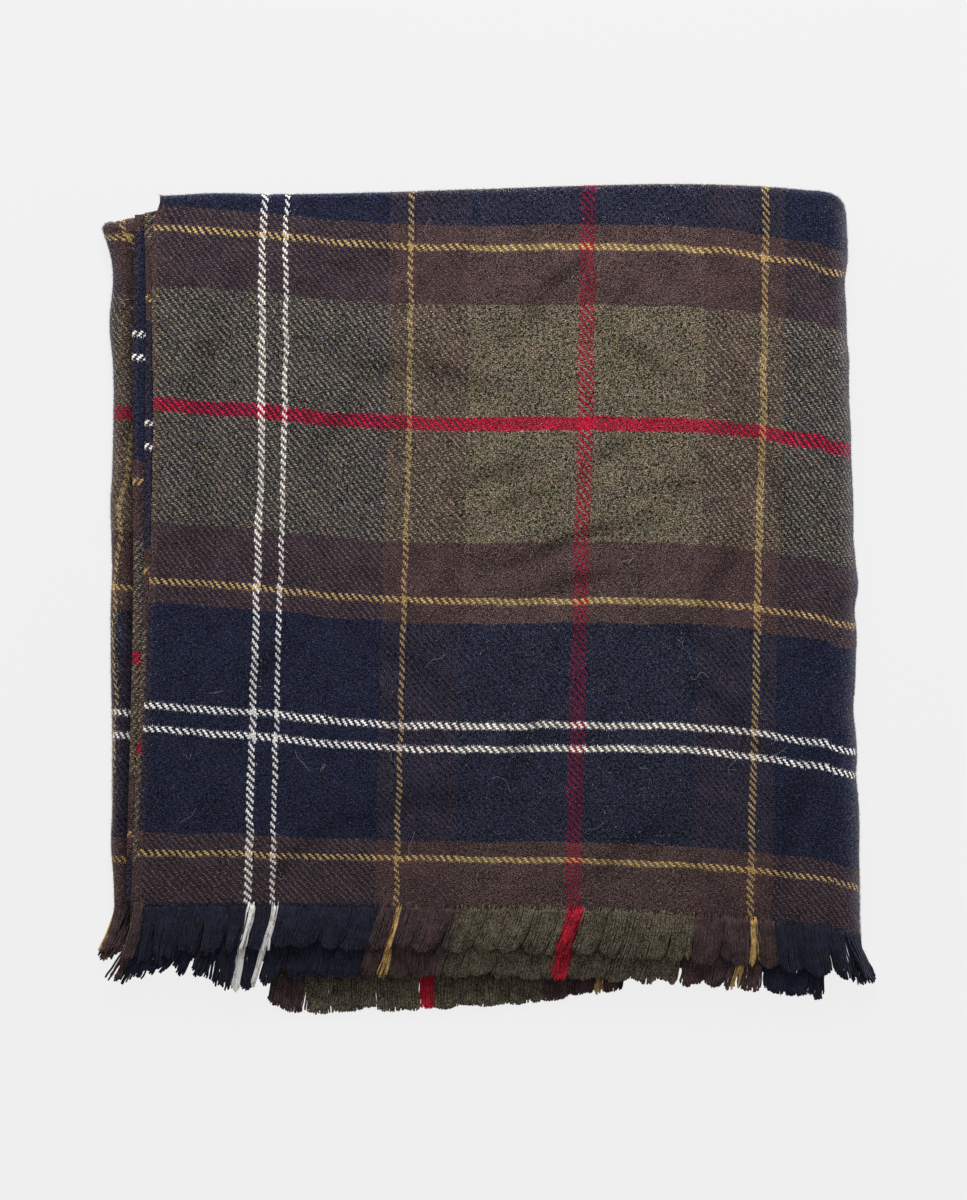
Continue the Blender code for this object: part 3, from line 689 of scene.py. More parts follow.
def fringe_paths(base, row, seed, knots=slice(None)):
    """Middle lines, radii and thread places of a row of strands."""
    random = np.random.default_rng(seed)
    count = int(base["length"] / WARP_PITCH)
    paths, radii, acrosses, alongs = [], [], [], []
    t = STRAND_PLACES[None, :]
    for layer in range(row.layers):
        share = (np.arange(count) + .5 * layer + .25) / count
        x, y, z, face_x, face_z, across = (
            np.interp(share, base["share"], base[name])
            for name in ("x", "y", "z", "face_x", "face_z", "across"))
        length, lean = follow(row.lengths, share), follow(row.leans, share)
        centre, rel, shift, reach, lift, narrow = (np.zeros(count) for _ in range(6))
        for tuft in tufts_along(across, share, random, row):
            part = slice(tuft.first, tuft.last)
            number = tuft.last - tuft.first
            centre[part] = x[part].mean()
            rel[part] = (np.arange(number) + .5) / number * 2 - 1
            shift[part], reach[part] = tuft.shift, tuft.reach
            lift[part], narrow[part] = tuft.lift, tuft.narrow
        free = follow(row.loose, share)
        tip = reach * (1 - row.ragged * LOCK_POINT * np.abs(rel) ** POINT_POWER)
        tip *= (1 - row.ragged * random.uniform(*TIP_SCATTER, count)
                - free * random.uniform(0, LOOSE_SCATTER, count))
        down = (length * tip)[:, None] * t
        splay = np.maximum(np.abs(face_z), FRINGE_SPLAY)
        own = random.normal(0, mix(*STRAND_SCATTER, free))[:, None] * t
        gather = (centre - x) * (1 - narrow) * row.gather * np.abs(face_z)
        gather = gather[:, None] * t ** GATHER_POWER
        sway = (lean * splay + shift * row.gather)[:, None] * t ** SWAY_POWER
        curl = (random.normal(0, CURL, count)[:, None]
                * np.sin(pi * t * random.uniform(*CURL_TURNS, count)[:, None]))
        dome = (LOCK_DOME * (1 - rel ** 2) + lift)[:, None] * ease(t * DOME_RISE) * row.rise
        dome *= np.maximum(face_z, 0)[:, None]
        scatter = random.uniform(-LAYER_SCATTER, LAYER_SCATTER, (count, 1))
        inward = UNDER_FACE + LAYER_STEP * layer + scatter - dome
        wobble, sideways = random.normal(0, WOBBLE, (2, count, STRAND_KNOTS))
        paths.append(settle(
            x[:, None] + gather + sway + own + curl + sideways - face_x[:, None] * inward,
            y[:, None] + ROOT_REACH * (1 - t) ** 4 - down,
            z[:, None] - face_z[:, None] * inward + wobble - row.hang * t))
        paths[-1][:, :, 2] = np.maximum(paths[-1][:, :, 2], STRAND_RADIUS)
        thick = random.uniform(*STRAND_SIZES, count)[:, None] * STRAND_RADIUS
        radii.append(thick * STRAND_SHAPE[None, :])
        acrosses.append((np.floor(across / WARP_PITCH) + .5) * WARP_PITCH)
        alongs.append(-down + random.uniform(0, OWN_START, count)[:, None])
    paths, radii, acrosses, alongs = (
        np.concatenate(part) for part in (paths, radii, acrosses, alongs))
    return paths[:, knots], radii[:, knots], acrosses, alongs[:, knots]


def fringe_piece(name, base, row, seed):
    paths, radii, across, along = fringe_paths(base, row, seed)
    fringe_fuzz.append((paths, across))
    mesh = tubes(paths, radii, STRAND_SIDES, across, along)
    return add_piece(name, mesh, loose_yarn)


def base_line(rows):
    """A fringe's base from (x, y, z, face_x, face_z, across) at points along the hem."""
    table = np.array(rows, float)
    steps = np.hypot(np.hypot(np.diff(table[:, 0]), np.diff(table[:, 1])), np.diff(table[:, 2]))
    run = np.concatenate([[0], np.cumsum(steps)])
    names = ("x", "y", "z", "face_x", "face_z", "across")
    base = {name: table[:, i] for i, name in enumerate(names)}
    base["share"], base["length"] = run / run[-1], run[-1]
    return base


def flat_base(left, right, hem, level, first_across):
    """A level fringe's base from left to right along a hem."""
    x = np.linspace(left, right, BASE_POINTS)
    return base_line(np.stack([x, hem(x), np.full_like(x, level), 0 * x, 0 * x + 1,
                               first_across + x - left], -1))


# --- Nap: short loose fibres, thickest along the folds ---
HAIR_SIDES = 3
HAIR_RISE, HAIR_SWING, HAIR_DROOP, HAIR_TIP = (.35, 1.0), .35, .45, .25
LOWEST_HAIR, LOWEST_NAP = .0003, .0030
SELVEDGE_NAP, HEM_NAP = 7, 3  # how much thicker it stands there
TURN_POWER = 1.1  # how far it keeps to where the cloth turns away from above
BARE_TOP, SEEN_STRIP = 3, 5  # rows without it along the top, and columns of the strip with it
FUZZ_SPREAD, FUZZ_ROOT = .9, .8  # turn about a strand, and share of its radius
LINT_ACROSS, LINT_UP = (-.150, .165), (-.135, .185)
LINT_LENGTHS, LINT_LIFTS = (.004, .013), (.0003, .0008)
LINT_KNOTS, LINT_TURN, LINT_WIND, LINT_WINDINGS = 9, 1.1, .7, 7
LINT_LEVEL, LINT_SIDES = .0003, 4
Roots = namedtuple("Roots", "places normals runs threads")


def hairs_mesh(roots, lengths, width, random, knots=3, lie=.8):
    """Short fibres standing on a surface, lying over in all directions."""
    normals, runs = roots.normals, roots.runs
    count = len(normals)
    t = np.linspace(0, 1, knots)[None, :, None]
    turn = random.uniform(0, 2 * pi, count)
    other = np.cross(normals, runs)
    flat = runs * np.cos(turn)[:, None] + other * np.sin(turn)[:, None]
    bend = other * np.cos(turn)[:, None] - runs * np.sin(turn)[:, None]
    rise = random.uniform(*HAIR_RISE, count)[:, None, None]
    swing = random.normal(0, HAIR_SWING, count)[:, None, None]
    span = random.uniform(*lengths, count)[:, None, None]
    paths = (roots.places[:, None] + flat[:, None] * span * t * lie
             + normals[:, None] * span * rise * (t - HAIR_DROOP * t ** 2)
             + bend[:, None] * span * swing * t ** 2)
    paths[:, :, 2] = np.maximum(paths[:, :, 2], LOWEST_HAIR)
    radii = np.repeat(width * np.linspace(1, HAIR_TIP, knots)[None, :], count, 0)
    along = np.repeat(roots.threads[:, 1:2], knots, 1)
    return tubes(paths, radii, HAIR_SIDES, roots.threads[:, 0], along, capped=False)


def nap_roots(points, threads, count, random, level_share):
    """Places on the outer sheet, most of them where it turns away from above."""
    run_a, run_b, normal, size = net_normals(points)
    level = np.abs(normal[:, :, 2])
    weight = size * (level_share + (1 - level) ** TURN_POWER)
    weight[0] *= SELVEDGE_NAP
    weight[:, 0] *= HEM_NAP
    weight[:, -BARE_TOP:] = 0  # none inside the fold along the top,
    weight[-STRIP_CELLS + SEEN_STRIP:] = 0  # where the strip goes under the plies,
    weight[points[:, :, 2] < LOWEST_NAP] = 0  # or next to the ground
    pick = random.choice(weight.size, count, p=(weight / weight.sum()).ravel())
    column, row = np.unravel_index(pick, weight.shape)
    jitter = random.uniform(-.5, .5, (count, 2))
    place = (points[column, row] + run_a[column, row] * jitter[:, :1]
             + run_b[column, row] * jitter[:, 1:])
    return Roots(place, normal[column, row], unit(run_b[column, row]), threads[column, row])


def strand_roots(paths, across, count, random):
    """Places on the upper side of strands."""
    strand = random.integers(0, len(paths), count)
    knot = random.integers(1, paths.shape[1] - 1, count)
    share = random.uniform(0, 1, count)[:, None]
    place = mix(paths[strand, knot], paths[strand, knot + 1], share)
    run = unit(paths[strand, knot + 1] - paths[strand, knot])
    side = unit(np.cross(run, [0.0, 0.0, 1.0]))
    over = np.cross(side, run)
    angle = random.normal(0, FUZZ_SPREAD, count)[:, None]
    out = over * np.cos(angle) + side * np.sin(angle)
    threads = np.stack([across[strand], place[:, 1]], -1)
    return Roots(place + out * STRAND_RADIUS * FUZZ_ROOT, out, run, threads)


def lint_paths(count, random):
    """Long loose fibres that lie on the upper face, each with its own bends."""
    knots = np.linspace(0, 1, LINT_KNOTS)[None, :]
    x0, y0 = random.uniform(*LINT_ACROSS, count), random.uniform(*LINT_UP, count)
    length = random.uniform(*LINT_LENGTHS, count)
    heading = random.uniform(0, 2 * pi, count)[:, None]
    turn = heading + random.normal(0, LINT_TURN, count)[:, None] * knots
    turn = turn + random.normal(0, LINT_WIND, count)[:, None] * np.sin(knots * LINT_WINDINGS)
    step = (length / (LINT_KNOTS - 1))[:, None]
    x = x0[:, None] + np.cumsum(np.cos(turn) * step, 1)
    y = y0[:, None] + np.cumsum(np.sin(turn) * step, 1)
    face = settle(x, y, np.full_like(x, HEIGHT))
    lift = random.uniform(*LINT_LIFTS, count)[:, None] * np.sin(pi * knots)
    face[:, :, 2] += lift + LINT_LEVEL
    return face


# --- Materials ---
WANDER, WANDER_NOISE = .0028, 70.0  # slow drift of the yarns off their own lines
FRAY, FRAY_NOISE = .0011, 1150.0  # how far loose fibres carry a yarn's colour aside
STRAY = .0058  # reach of the fibres brushed up and down off the weft
STRAY_ACROSS, STRAY_ALONG, STRAY_SHARE = 2400.0, 650.0, .80
STRAY_NONE, STRAY_ALL = .42, .62  # noise at which there are none, and all
COVER_RISE, COVER_FALL = 1.6, .4  # of the warp by the nap, with how woolly the weft is
GRAIN, BRUSH, PATCH = 17.0, 7.0, 1.4  # unevenness of tone: fibre, brushing, broad patches
BRUSH_NOISE, PATCH_NOISE = 620.0, 70.0
FIBRE_ALONG, FIBRE_ASIDE = 900.0, 1900.0  # noise of the fibres, along a yarn and across it
FLOAT_RISE, FLOAT_ROUNDNESS = .65, .7  # of a yarn, to the middle of its float and its sides
WARP_DEPTH = .80  # height of the warp's floats against the weft's
# Painted shade of the weave: tone at a float's crest, and down in the hollows between yarns.
CREST_TONE, HOLLOW_TONE = 1.12, .24
SPECKLE_RISE, SPECKLE_LEAST, SPECKLE_MOST = 1.05, .12, .88  # with how woolly the yarn is
PATCH_HUE, TWILL_HUE = .22, .60  # shares of hue: the patches', and all of the noise's
BUMP_STRENGTH, BUMP_DEPTH, BUMP_GRAIN = .75, .00030, .35
# The same for loose yarn: fibres, single strands and clumps of them.
STRAND_GRAIN, STRAND_TONE, STRAND_CLUMP = 9.5, 1.0, 2.4
GRAIN_NOISE, CLUMP_NOISE, STRAND_ACROSS, STRAND_ALONG = 1300.0, 190.0, 1400.0, 300.0
SMOOTH_SPECKLE = .25  # share of the grain that a smooth yarn shows
SMOOTH_GAIN, WOOLLY_LOSS = 1.25, .30
YARN_DEPTH, YARN_HUE = 1.06, .35
HAZE_GREEN, HAZE_BLUE = .96, .94  # of the haze, against its red
PALEST = (.95, .94, .92, 1)
BRIGHTEST = 2.5  # of the fibres, against their own mean
SHEEN_TINT = (.92, .90, .88, 1)
BLACK, PLAIN = (0, 0, 0, 1), (1, 1, 1, 1)


class Value:
    """What a shader socket gives, which takes sums as a plain number does."""

    def __init__(self, graph, socket):
        self.graph, self.socket = graph, socket

    def __add__(self, more):
        return self.graph.math("ADD", self, more)

    def __sub__(self, less):
        return self.graph.math("SUBTRACT", self, less)

    def __rsub__(self, whole):
        return self.graph.math("SUBTRACT", whole, self)

    def __mul__(self, by):
        return self.graph.math("MULTIPLY", self, by)

    def __truediv__(self, by):
        return self.graph.math("DIVIDE", self, by)

    def __rtruediv__(self, whole):
        return self.graph.math("DIVIDE", whole, self)


class Graph:
    """Short ways to add shader nodes to one node tree."""

    def __init__(self, tree):
        self.tree = tree

    def plug(self, term, socket):
        if isinstance(term, Value):
            self.tree.links.new(term.socket, socket)
        else:
            socket.default_value = term

    def node(self, kind, *terms, fed=(), outs=(0,), **settings):
        """What a new node gives at these outputs, with the terms fed to its first inputs."""
        node = self.tree.nodes.new("ShaderNode" + kind)
        for setting, value in settings.items():
            setattr(node, setting, value)
        for key, term in (*enumerate(terms), *dict(fed).items()):
            self.plug(term, node.inputs[key])
        values = [Value(self, node.outputs[key]) for key in outs]
        return values[0] if len(values) == 1 else values

    def math(self, operation, *terms):
        return self.node("Math", *terms, operation=operation)

    def vector(self, x, y, z=0.0):
        return self.node("CombineXYZ", x, y, z)

    def split(self, vector):
        return self.node("SeparateXYZ", vector, outs=(0, 1, 2))

    def noise(self, vector, scale, detail=2.0, roughness=.5):
        fed = {"Scale": scale, "Detail": detail, "Roughness": roughness}
        return self.node("TexNoise", vector, fed=fed, outs=("Fac", "Color"),
                         noise_dimensions="3D")

    def blend(self, share, start, end, kind="MIX"):
        return self.node("Mix", share, fed={6: start, 7: end}, outs=(2,), data_type="RGBA",
                         blend_type=kind, clamp_result=False)

    def multiply(self, colour, by):
        return self.blend(1.0, colour, by, "MULTIPLY")

    def choose(self, share, start, end):
        return self.node("Mix", share, fed={2: start, 3: end}, data_type="FLOAT")

    def gamma(self, colour, power):
        return self.node("Gamma", colour, power)

    def remap(self, value, low, high, new_low, new_high):
        return self.node("MapRange", value, low, high, new_low, new_high)

    def speckle(self, uneven):
        """A tone of about 1 from an unevenness of about 0, never more than BRIGHTEST."""
        fall = self.math("EXPONENT", uneven * (-BRIGHTEST / (BRIGHTEST - 1)))
        return BRIGHTEST / (fall * (BRIGHTEST - 1) + 1.0)

    def shaded(self, colour, tone, hue, hue_share):
        """The colour at this tone, with a share of a noise's own hue."""
        tint = self.blend(hue_share, PLAIN, self.multiply((2, 2, 2, 1), hue))
        return self.multiply(self.multiply(colour, tint), self.vector(tone, tone, tone))


def sett_group():
    """Colour of the yarn at a place along the sett, with how woolly it is."""
    group = bpy.data.node_groups.new("sett", "ShaderNodeTree")
    for name, way, kind in (("Place", "INPUT", "Float"), ("Colour", "OUTPUT", "Color"),
                            ("Woolly", "OUTPUT", "Float")):
        group.interface.new_socket(name, in_out=way, socket_type="NodeSocket" + kind)
    graph = Graph(group)
    start, end = group.nodes.new("NodeGroupInput"), group.nodes.new("NodeGroupOutput")
    ramp = group.nodes.new("ShaderNodeValToRGB")
    ramp.color_ramp.interpolation = "CONSTANT"
    stops, total, run = ramp.color_ramp.elements, sum(stripe.yarns for stripe in SETT), 0.0
    for number, stripe in enumerate(SETT):
        stop = stops[number] if number < 2 else stops.new(run / total)
        stop.position = run / total
        stop.color = (*stripe.colour, stripe.woolly)
        run += stripe.yarns
    place = graph.math("PINGPONG", Value(graph, start.outputs[0]), SETT_LENGTH)
    graph.plug(place / SETT_LENGTH, ramp.inputs[0])
    for number, name in enumerate(("Color", "Alpha")):
        group.links.new(ramp.outputs[name], end.inputs[number])
    return group


def use_sett(graph, place):
    return graph.node("Group", place, outs=(0, 1), node_tree=sett)


def new_material(name, roughness, sheen, sheen_roughness, specular):
    material = bpy.data.materials.new(name)
    material.use_nodes = True
    shader = material.node_tree.nodes["Principled BSDF"]
    for socket, value in (("Roughness", roughness), ("Specular IOR Level", specular),
                          ("Sheen Weight", sheen), ("Sheen Roughness", sheen_roughness),
                          ("Sheen Tint", SHEEN_TINT)):
        shader.inputs[socket].default_value = value
    return material, shader, Graph(material.node_tree)


def thread_places(graph):
    return graph.split(graph.node("UVMap", uv_map="threads"))[:2]


def twill_material():
    """Brushed two-and-two twill, yarn by yarn."""
    material, shader, graph = new_material(
        "brushed_twill", roughness=.9, sheen=.32, sheen_roughness=.33, specular=.08)
    u, v = thread_places(graph)
    metres = graph.vector(u, v)
    wx, wy, _ = graph.split(graph.noise(metres, WANDER_NOISE, 1.0)[1])
    fx, fy, _ = graph.split(graph.noise(metres, FRAY_NOISE, 2.0, .65)[1])

    def shifted(place, slow, quick):
        return slow * WANDER + place + quick * FRAY

    # Which yarn is on top: each passes over two and under two, a step on from row to row.
    warp, weft = shifted(u, wx, fx) / WARP_PITCH, shifted(v, wy, fy) / WEFT_PITCH
    i, j = graph.math("FLOOR", warp), graph.math("FLOOR", weft)
    fi, fj = graph.math("FRACT", warp), graph.math("FRACT", weft)
    phase = graph.math("FLOORED_MODULO", i + j, 4.0)
    over = graph.math("LESS_THAN", phase, 1.5)

    def float_height(run, phase_start, aside):
        crest = graph.math("SINE", (phase - phase_start + run) * (pi / 2))
        off = aside * 2.0 - 1.0
        return (crest * FLOAT_RISE + (1 - FLOAT_RISE)) * (off * off * -FLOAT_ROUNDNESS + 1.0)

    height = graph.choose(over, float_height(fi, 2.0, fj),
                          float_height(fj, 0.0, fi) * WARP_DEPTH)

    def yarn(index, pitch, pivot):
        return use_sett(graph, index * pitch + (pitch * .5 - pivot))

    # Colour: the nap of a woolly weft hides most of a woolly warp.
    warp_colour, warp_woolly = yarn(i, WARP_PITCH, WARP_PIVOT)
    weft_colour, weft_woolly = yarn(j, WEFT_PITCH, WEFT_PIVOT)
    cover = warp_woolly * graph.math("MINIMUM", weft_woolly * COVER_RISE,
                                     weft_woolly * -COVER_FALL + 1.0)
    under_nap = graph.multiply(graph.gamma(warp_colour, 1.0 - cover),
                               graph.gamma(weft_colour, cover))
    colour = graph.blend(over, weft_colour, under_nap)
    woolly = graph.choose(over, weft_woolly, weft_woolly * warp_woolly)

    # Stray fibres, brushed up and down off a paler weft.
    streaks = graph.vector(u * STRAY_ACROSS, v * STRAY_ALONG)
    drift, amount, _ = graph.split(graph.noise(streaks, 1.0, 2.0, .6)[1])
    stray, _ = use_sett(graph, shifted(v, wy, .5) + (drift - .5) * STRAY - WEFT_PIVOT)
    stray = graph.blend(1.0, stray, weft_colour, "SUBTRACT")
    stray = graph.blend(1.0, stray, BLACK, "LIGHTEN")
    strays = graph.remap(amount, STRAY_NONE, STRAY_ALL, 0.0, STRAY_SHARE)
    colour = graph.blend(strays, colour, stray, "ADD")

    # Tone: fibres, brushing and broad patches, on the painted shade of the weave, darkened by the
    # painted crease shade and paled by the painted rim sheen.
    fibre = graph.vector(u * graph.choose(over, FIBRE_ALONG, FIBRE_ASIDE),
                         v * graph.choose(over, FIBRE_ASIDE, FIBRE_ALONG))
    grain, grain_hue = graph.noise(fibre, 1.0, 2.0, .6)
    brush, _ = graph.noise(metres, BRUSH_NOISE, 2.0, .6)
    patch, patch_hue = graph.noise(metres, PATCH_NOISE, 4.0, .6)
    speckled = graph.math("MINIMUM", woolly * SPECKLE_RISE + SPECKLE_LEAST, SPECKLE_MOST)
    uneven = ((grain - .5) * GRAIN + (brush - .5) * BRUSH * woolly) * speckled
    shade = height * CREST_TONE + HOLLOW_TONE
    # Painted shade in the creases, and painted sheen round the folds' rims, kept on the outer
    # sheet.
    painted_light_marks = graph.node("Attribute", outs=("Fac",), attribute_name="painted_shade_and_sheen")
    tone = graph.speckle(uneven + (patch - .5) * PATCH) * (shade * (1.0 - painted_light_marks))
    hue = graph.blend(PATCH_HUE, grain_hue, patch_hue)
    graph.plug(graph.shaded(colour, tone, hue, woolly * TWILL_HUE), shader.inputs["Base Color"])
    bump = {"Strength": BUMP_STRENGTH, "Distance": BUMP_DEPTH,
            "Height": grain * BUMP_GRAIN + height}
    graph.plug(graph.node("Bump", fed=bump), shader.inputs["Normal"])
    return material


def yarn_material(name, gain, sheen, haze=0.0):
    """Loose yarn, all warp: one colour to a strand, brushed and speckled.  Haze is the
    paleness of thin fibres that light shines through."""
    material, shader, graph = new_material(
        name, roughness=.9, sheen=sheen, sheen_roughness=.5, specular=.10)
    u, v = thread_places(graph)
    colour, woolly = use_sett(graph, u - WARP_PIVOT)
    where = graph.node("TexCoord", outs=("Object",))
    grain, hue = graph.noise(where, GRAIN_NOISE, 3.0, .65)
    clump, _ = graph.noise(where, CLUMP_NOISE, 2.0, .6)
    strand, _ = graph.noise(graph.vector(u * STRAND_ACROSS, v * STRAND_ALONG), 1.0, 1.0)
    speckled = woolly * (1 - SMOOTH_SPECKLE) + SMOOTH_SPECKLE
    uneven = ((grain - .5) * STRAND_GRAIN * speckled + (strand - .5) * STRAND_TONE
              + (clump - .5) * STRAND_CLUMP)
    tone = graph.speckle(uneven) * ((woolly * -WOOLLY_LOSS + SMOOTH_GAIN) * gain)
    lit = graph.shaded(graph.gamma(colour, YARN_DEPTH), tone, hue, woolly * YARN_HUE)
    lit = graph.blend(1.0, lit, PALEST, "DARKEN")
    lit = graph.blend(1.0, lit, (haze, haze * HAZE_GREEN, haze * HAZE_BLUE, 1), "ADD")
    graph.plug(lit, shader.inputs["Base Color"])
    return material


def plain_material(name, colour):
    material, shader, graph = new_material(
        name, roughness=.8, sheen=.2, sheen_roughness=.5, specular=.2)
    tint, _ = graph.noise(graph.node("TexCoord", outs=("Object",)), 60.0, 1.0)
    tone = graph.remap(tint, .3, .7, .75, 1.2)
    graph.plug(graph.multiply((*colour, 1), graph.vector(tone, tone, tone)),
               shader.inputs["Base Color"])
    return material


sett = sett_group()
twill = twill_material()
loose_yarn = yarn_material("loose_yarn", gain=.94, sheen=.08)
# The nap and rim fibres are painted paler than their yarn, by their gain and haze: painted sheen
# of the fuzz, most of all round the rims of the folds.
nap_yarn = yarn_material("nap_fibre", gain=1.9, sheen=.3, haze=.10)
rim_fibre = yarn_material("rim_fibre", gain=3.8, sheen=.4, haze=.18)
fringe_fibre = yarn_material("fringe_fibre", gain=1.1, sheen=.2, haze=.02)
lint_fibre = plain_material("lint_fibre", (.34, .32, .31))

# --- The cloth pieces ---
sheet_points, sheet_threads, sheet_bases = outer_sheet()
wrap = cloth_piece("outer_wrap", sheet_points, sheet_threads)
# Paint shade into the creases of the outer sheet, and sheen onto the rims of its folds.
paint_shade_and_sheen(wrap, sheet_points)
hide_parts("front_panel", "back_panel")
second = cloth_piece("second_layer", *upper_ply(
    SECOND_SELVEDGE, HEIGHT - PITCH, SECOND_HEM_DROP, SECOND_THREAD))
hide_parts("second_ply")
third = cloth_piece("third_layer", *upper_ply(
    THIRD_SELVEDGE, HEIGHT - 2 * PITCH, 0.0, THIRD_THREAD))
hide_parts("third_ply")
inner = add_piece("inner_layers", core_mesh(), twill)
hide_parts("hidden_layers")

# --- The fringe rows ---
TOGETHER = [(0, 0), (1, 0)]  # locks that nowhere stand apart
THIRD_ROW_THREAD = .1380  # place across the cloth at the left end of that row
HIDDEN_LEVELS = 3 * GROUP - PITCH, 2 * GROUP + PITCH, 3 * PITCH
HIDDEN_ENDS, HIDDEN_LIFT = (-.158, .160), .002
HIDDEN_THREAD, HIDDEN_SHIFT = .02, .09  # threads at the left end, and from row to row
HIDDEN_ROW = Row([(0, .021), (1, .019)], [(0, -.004), (1, .001)], loose=[(0, .3), (1, .3)],
                 apart=TOGETHER, layers=1, hang=.001, gather=.7, rise=.5, ragged=1)

fringe_fuzz = []  # paths and threads of each row, for its fuzz
front_rows = [row[2:] for row in sheet_bases
              if row[0] == 0 or (row[0] == 1 and row[1] < FRONT_FRINGE_TURN)]
back_rows = [row[2:] for row in sheet_bases if row[0] >= 2 or (row[0] == 1 and row[1] == 1)]
front_fringe = fringe_piece("front_strands", base_line(front_rows), Row(
    FRONT_LENGTH, FRONT_LEAN, loose=[(0, .8), (.10, .4), (.17, .05), (.90, .05), (1, .5)],
    apart=TOGETHER, layers=2, hang=0, gather=1, rise=1.5, ragged=1), 11)
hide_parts("front_fringe")

second_base = flat_base(SECOND_SELVEDGE[0][1], SECOND_ROW_RIGHT,
                        lambda x: follow(HEM, x) - SECOND_HEM_DROP, HEIGHT - PITCH, 0.0)
second_fringe = fringe_piece("second_strands", second_base, Row(
    SECOND_LENGTH, SECOND_LEAN, loose=[(0, 1), (.10, .8), (.20, .1), (1, .1)],
    apart=[(0, 0), (.62, .2), (.72, 1), (1, 1)],
    layers=3, hang=0, gather=1, rise=.55, ragged=.8), 12)
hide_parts("second_fringe")

third_base = flat_base(THIRD_ROW_LEFT, THIRD_ROW_RIGHT, lambda x: follow(MID_HEM, x) - GAP,
                       2 * GROUP - GAP, THIRD_ROW_THREAD)
third_fringe = fringe_piece("third_strands", third_base, Row(
    THIRD_LENGTH, THIRD_LEAN, loose=[(0, .25), (.30, .1), (.45, 0), (1, 0)],
    apart=TOGETHER, layers=3, hang=0, gather=.35, rise=.5, ragged=.3), 13)
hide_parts("third_fringe")

back_fringe = fringe_piece("back_strands", base_line(back_rows), Row(
    BACK_LENGTH, BACK_LEAN, loose=[(0, .4), (.55, .4), (.72, 1), (1, 1)],
    apart=TOGETHER, layers=2, hang=0, gather=1, rise=1, ragged=1), 14)
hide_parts("back_fringe")

# Fringe of the hidden plies, which only shows from the front.
inner_rows = []
for number, level in enumerate(HIDDEN_LEVELS):
    hem = HEM if level > 2 * GROUP else BACK_HEM
    hidden = flat_base(*HIDDEN_ENDS, lambda x: follow(hem, x) + HIDDEN_LIFT, level,
                       HIDDEN_THREAD + HIDDEN_SHIFT * number)
    inner_rows.append(fringe_paths(hidden, HIDDEN_ROW, 15 + number, HIDDEN_KNOTS))
paths, radii, across, along = (np.concatenate(part) for part in zip(*inner_rows))
add_piece("inner_strands", tubes(paths, radii, STRAND_SIDES, across, along), loose_yarn)

# --- Nap and lint ---
NAP_HAIRS, RIM_HAIRS, FRINGE_HAIRS, LINT_FIBRES = 6500, 30000, (4000, 2800, 1400, 1400), 70
NAP_LENGTHS, RIM_LENGTHS, FRINGE_LENGTHS = (.0009, .0024), (.0006, .0014), (.0005, .0014)
HAIR_RADIUS, RIM_RADIUS = .00005, .00006
LEVEL_NAP, LEVEL_RIM = .05, .004  # share of hairs that stand on level cloth

random = np.random.default_rng(21)
roots = nap_roots(sheet_points, sheet_threads, NAP_HAIRS, random, LEVEL_NAP)
nap = add_piece("nap", hairs_mesh(roots, NAP_LENGTHS, HAIR_RADIUS, random), nap_yarn)
roots = nap_roots(sheet_points, sheet_threads, RIM_HAIRS, random, LEVEL_RIM)
rim_nap = add_piece("rim_nap", hairs_mesh(
    roots, RIM_LENGTHS, RIM_RADIUS, random, knots=2, lie=.9), rim_fibre)
fuzz = [strand_roots(paths, across, number, random)
        for (paths, across), number in zip(fringe_fuzz, FRINGE_HAIRS)]
roots = Roots(*(np.concatenate(part) for part in zip(*fuzz)))
fringe_nap = add_piece("fringe_nap", hairs_mesh(
    roots, FRINGE_LENGTHS, RIM_RADIUS, random, lie=.9), fringe_fibre)
fibres = lint_paths(LINT_FIBRES, random)
radii, along = np.full(fibres.shape[:2], HAIR_RADIUS), np.zeros(fibres.shape[:2])
lint_mesh = tubes(fibres, radii, LINT_SIDES, along[:, 0], along)
lint = add_piece("lint", lint_mesh, lint_fibre)


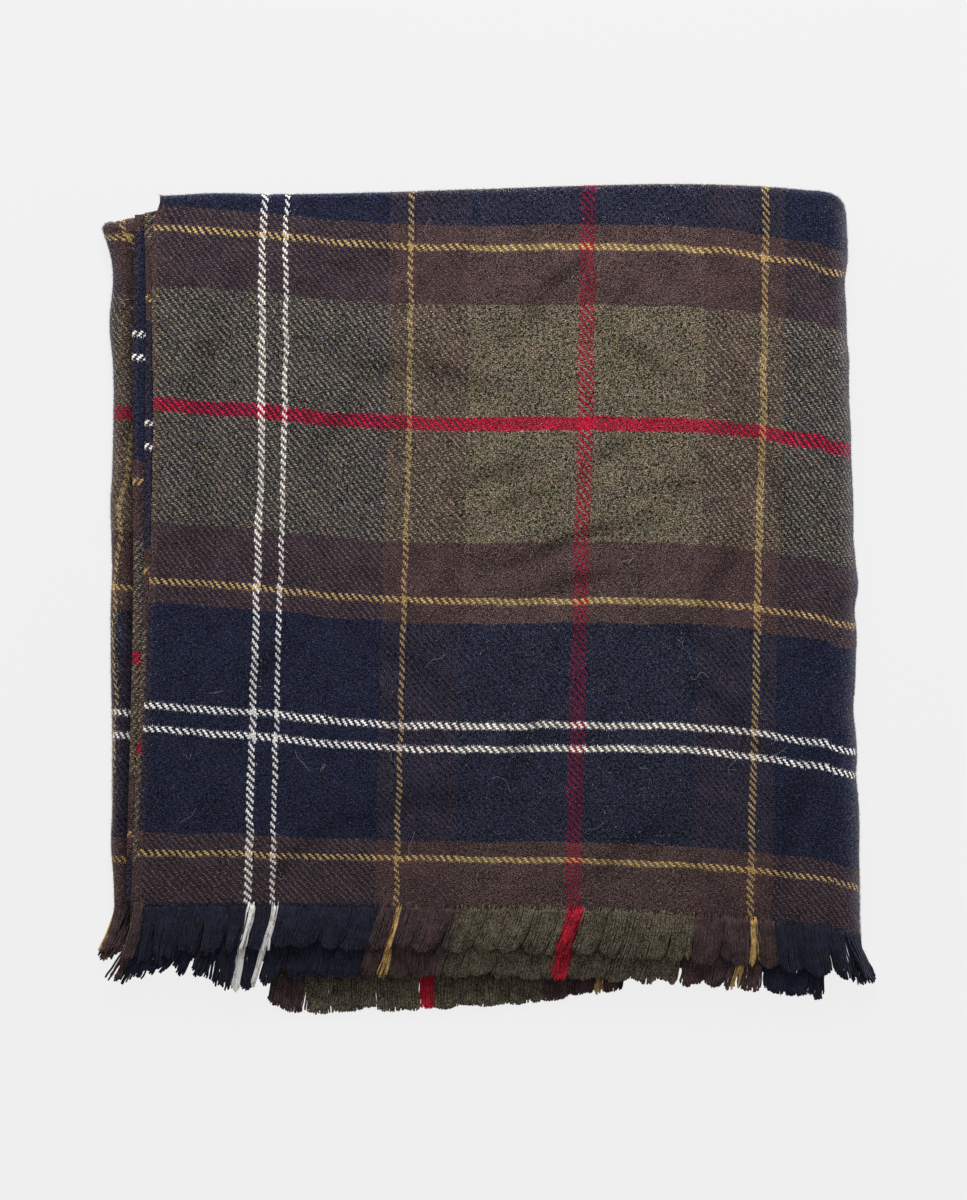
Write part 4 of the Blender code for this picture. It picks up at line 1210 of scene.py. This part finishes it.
# --- Stage ---
FLOOR_HALF = 4.0
FLOOR_LEVEL = -.0002
FLOOR_TONE = .85  # as other rays meet it
SHOWN_TONE, SHOWN_GLOW = .05, .829  # as the camera sees it: mostly glow, and a soft shadow
SKY_TONE, SKY_LIGHT = .87, .22
LAMPS = [  # name, place, side and power
    ("key", (.05, .88, .72), .50, 12.0),
    ("overhead", (.10, .50, 1.6), 1.1, 2.6),
    ("right_fill", (1.3, -.05, .40), .60, 3.8),
    ("left_fill", (-1.3, .05, .40), .60, 3.2),
    ("front_fill", (.05, -1.3, .40), .60, 1.0),
]
LENS = 180.0
SENSOR = 36.0
FRAME_HEIGHT = .576  # height of the whole view at the top of the bundle
FRAME_LEVEL = .024


def grey(tone):
    return (tone, tone, tone, 1)


def soft_lamp(name, place, size, energy):
    """A square lamp that faces the middle of the floor."""
    light = bpy.data.lights.new(name, "AREA")
    light.shape = "SQUARE"
    light.size = size
    light.energy = energy
    x, y, z = place
    lamp = placed(name, light, place)
    lamp.rotation_euler = (atan2(sqrt(x * x + y * y), z), 0.0, atan2(x, -y))


def pale_floor():
    """Glows evenly as the camera sees it, and is plain to all other rays."""
    material = bpy.data.materials.new("pale_floor")
    material.use_nodes = True
    graph = Graph(material.node_tree)
    graph.tree.nodes.clear()
    lit = graph.node("BsdfDiffuse", grey(FLOOR_TONE))
    shown = graph.node("AddShader", graph.node("BsdfDiffuse", grey(SHOWN_TONE)),
                       graph.node("Emission", grey(1), SHOWN_GLOW))
    rays = [graph.node("LightPath", outs=(f"Is {kind} Ray",))
            for kind in ("Camera", "Glossy", "Transmission")]
    seen = graph.math("MAXIMUM", rays[0], graph.math("MAXIMUM", rays[1], rays[2]))
    graph.node("OutputMaterial", graph.node("MixShader", seen, lit, shown), outs=())
    return material


def floor_piece():
    mesh = bpy.data.meshes.new("floor")
    low, high = -FLOOR_HALF, FLOOR_HALF
    mesh.from_pydata([(low, low, 0), (high, low, 0), (high, high, 0), (low, high, 0)],
                     [], [(0, 1, 2, 3)])
    mesh.materials.append(pale_floor())
    made = placed("floor", mesh, (0, 0, FLOOR_LEVEL))


floor_piece()
for lamp in LAMPS:
    soft_lamp(*lamp)
world = bpy.data.worlds.new("studio")
bpy.context.scene.world = world
world.use_nodes = True
world.node_tree.nodes["Background"].inputs[0].default_value = grey(SKY_TONE)
world.node_tree.nodes["Background"].inputs[1].default_value = SKY_LIGHT

camera_data = bpy.data.cameras.new("camera")
camera_data.lens = LENS
camera_data.sensor_width = SENSOR
bpy.context.scene.camera = placed(
    "camera", camera_data, (0, 0, FRAME_LEVEL + FRAME_HEIGHT * LENS / SENSOR))
bpy.context.scene.view_settings.view_transform = "Standard"
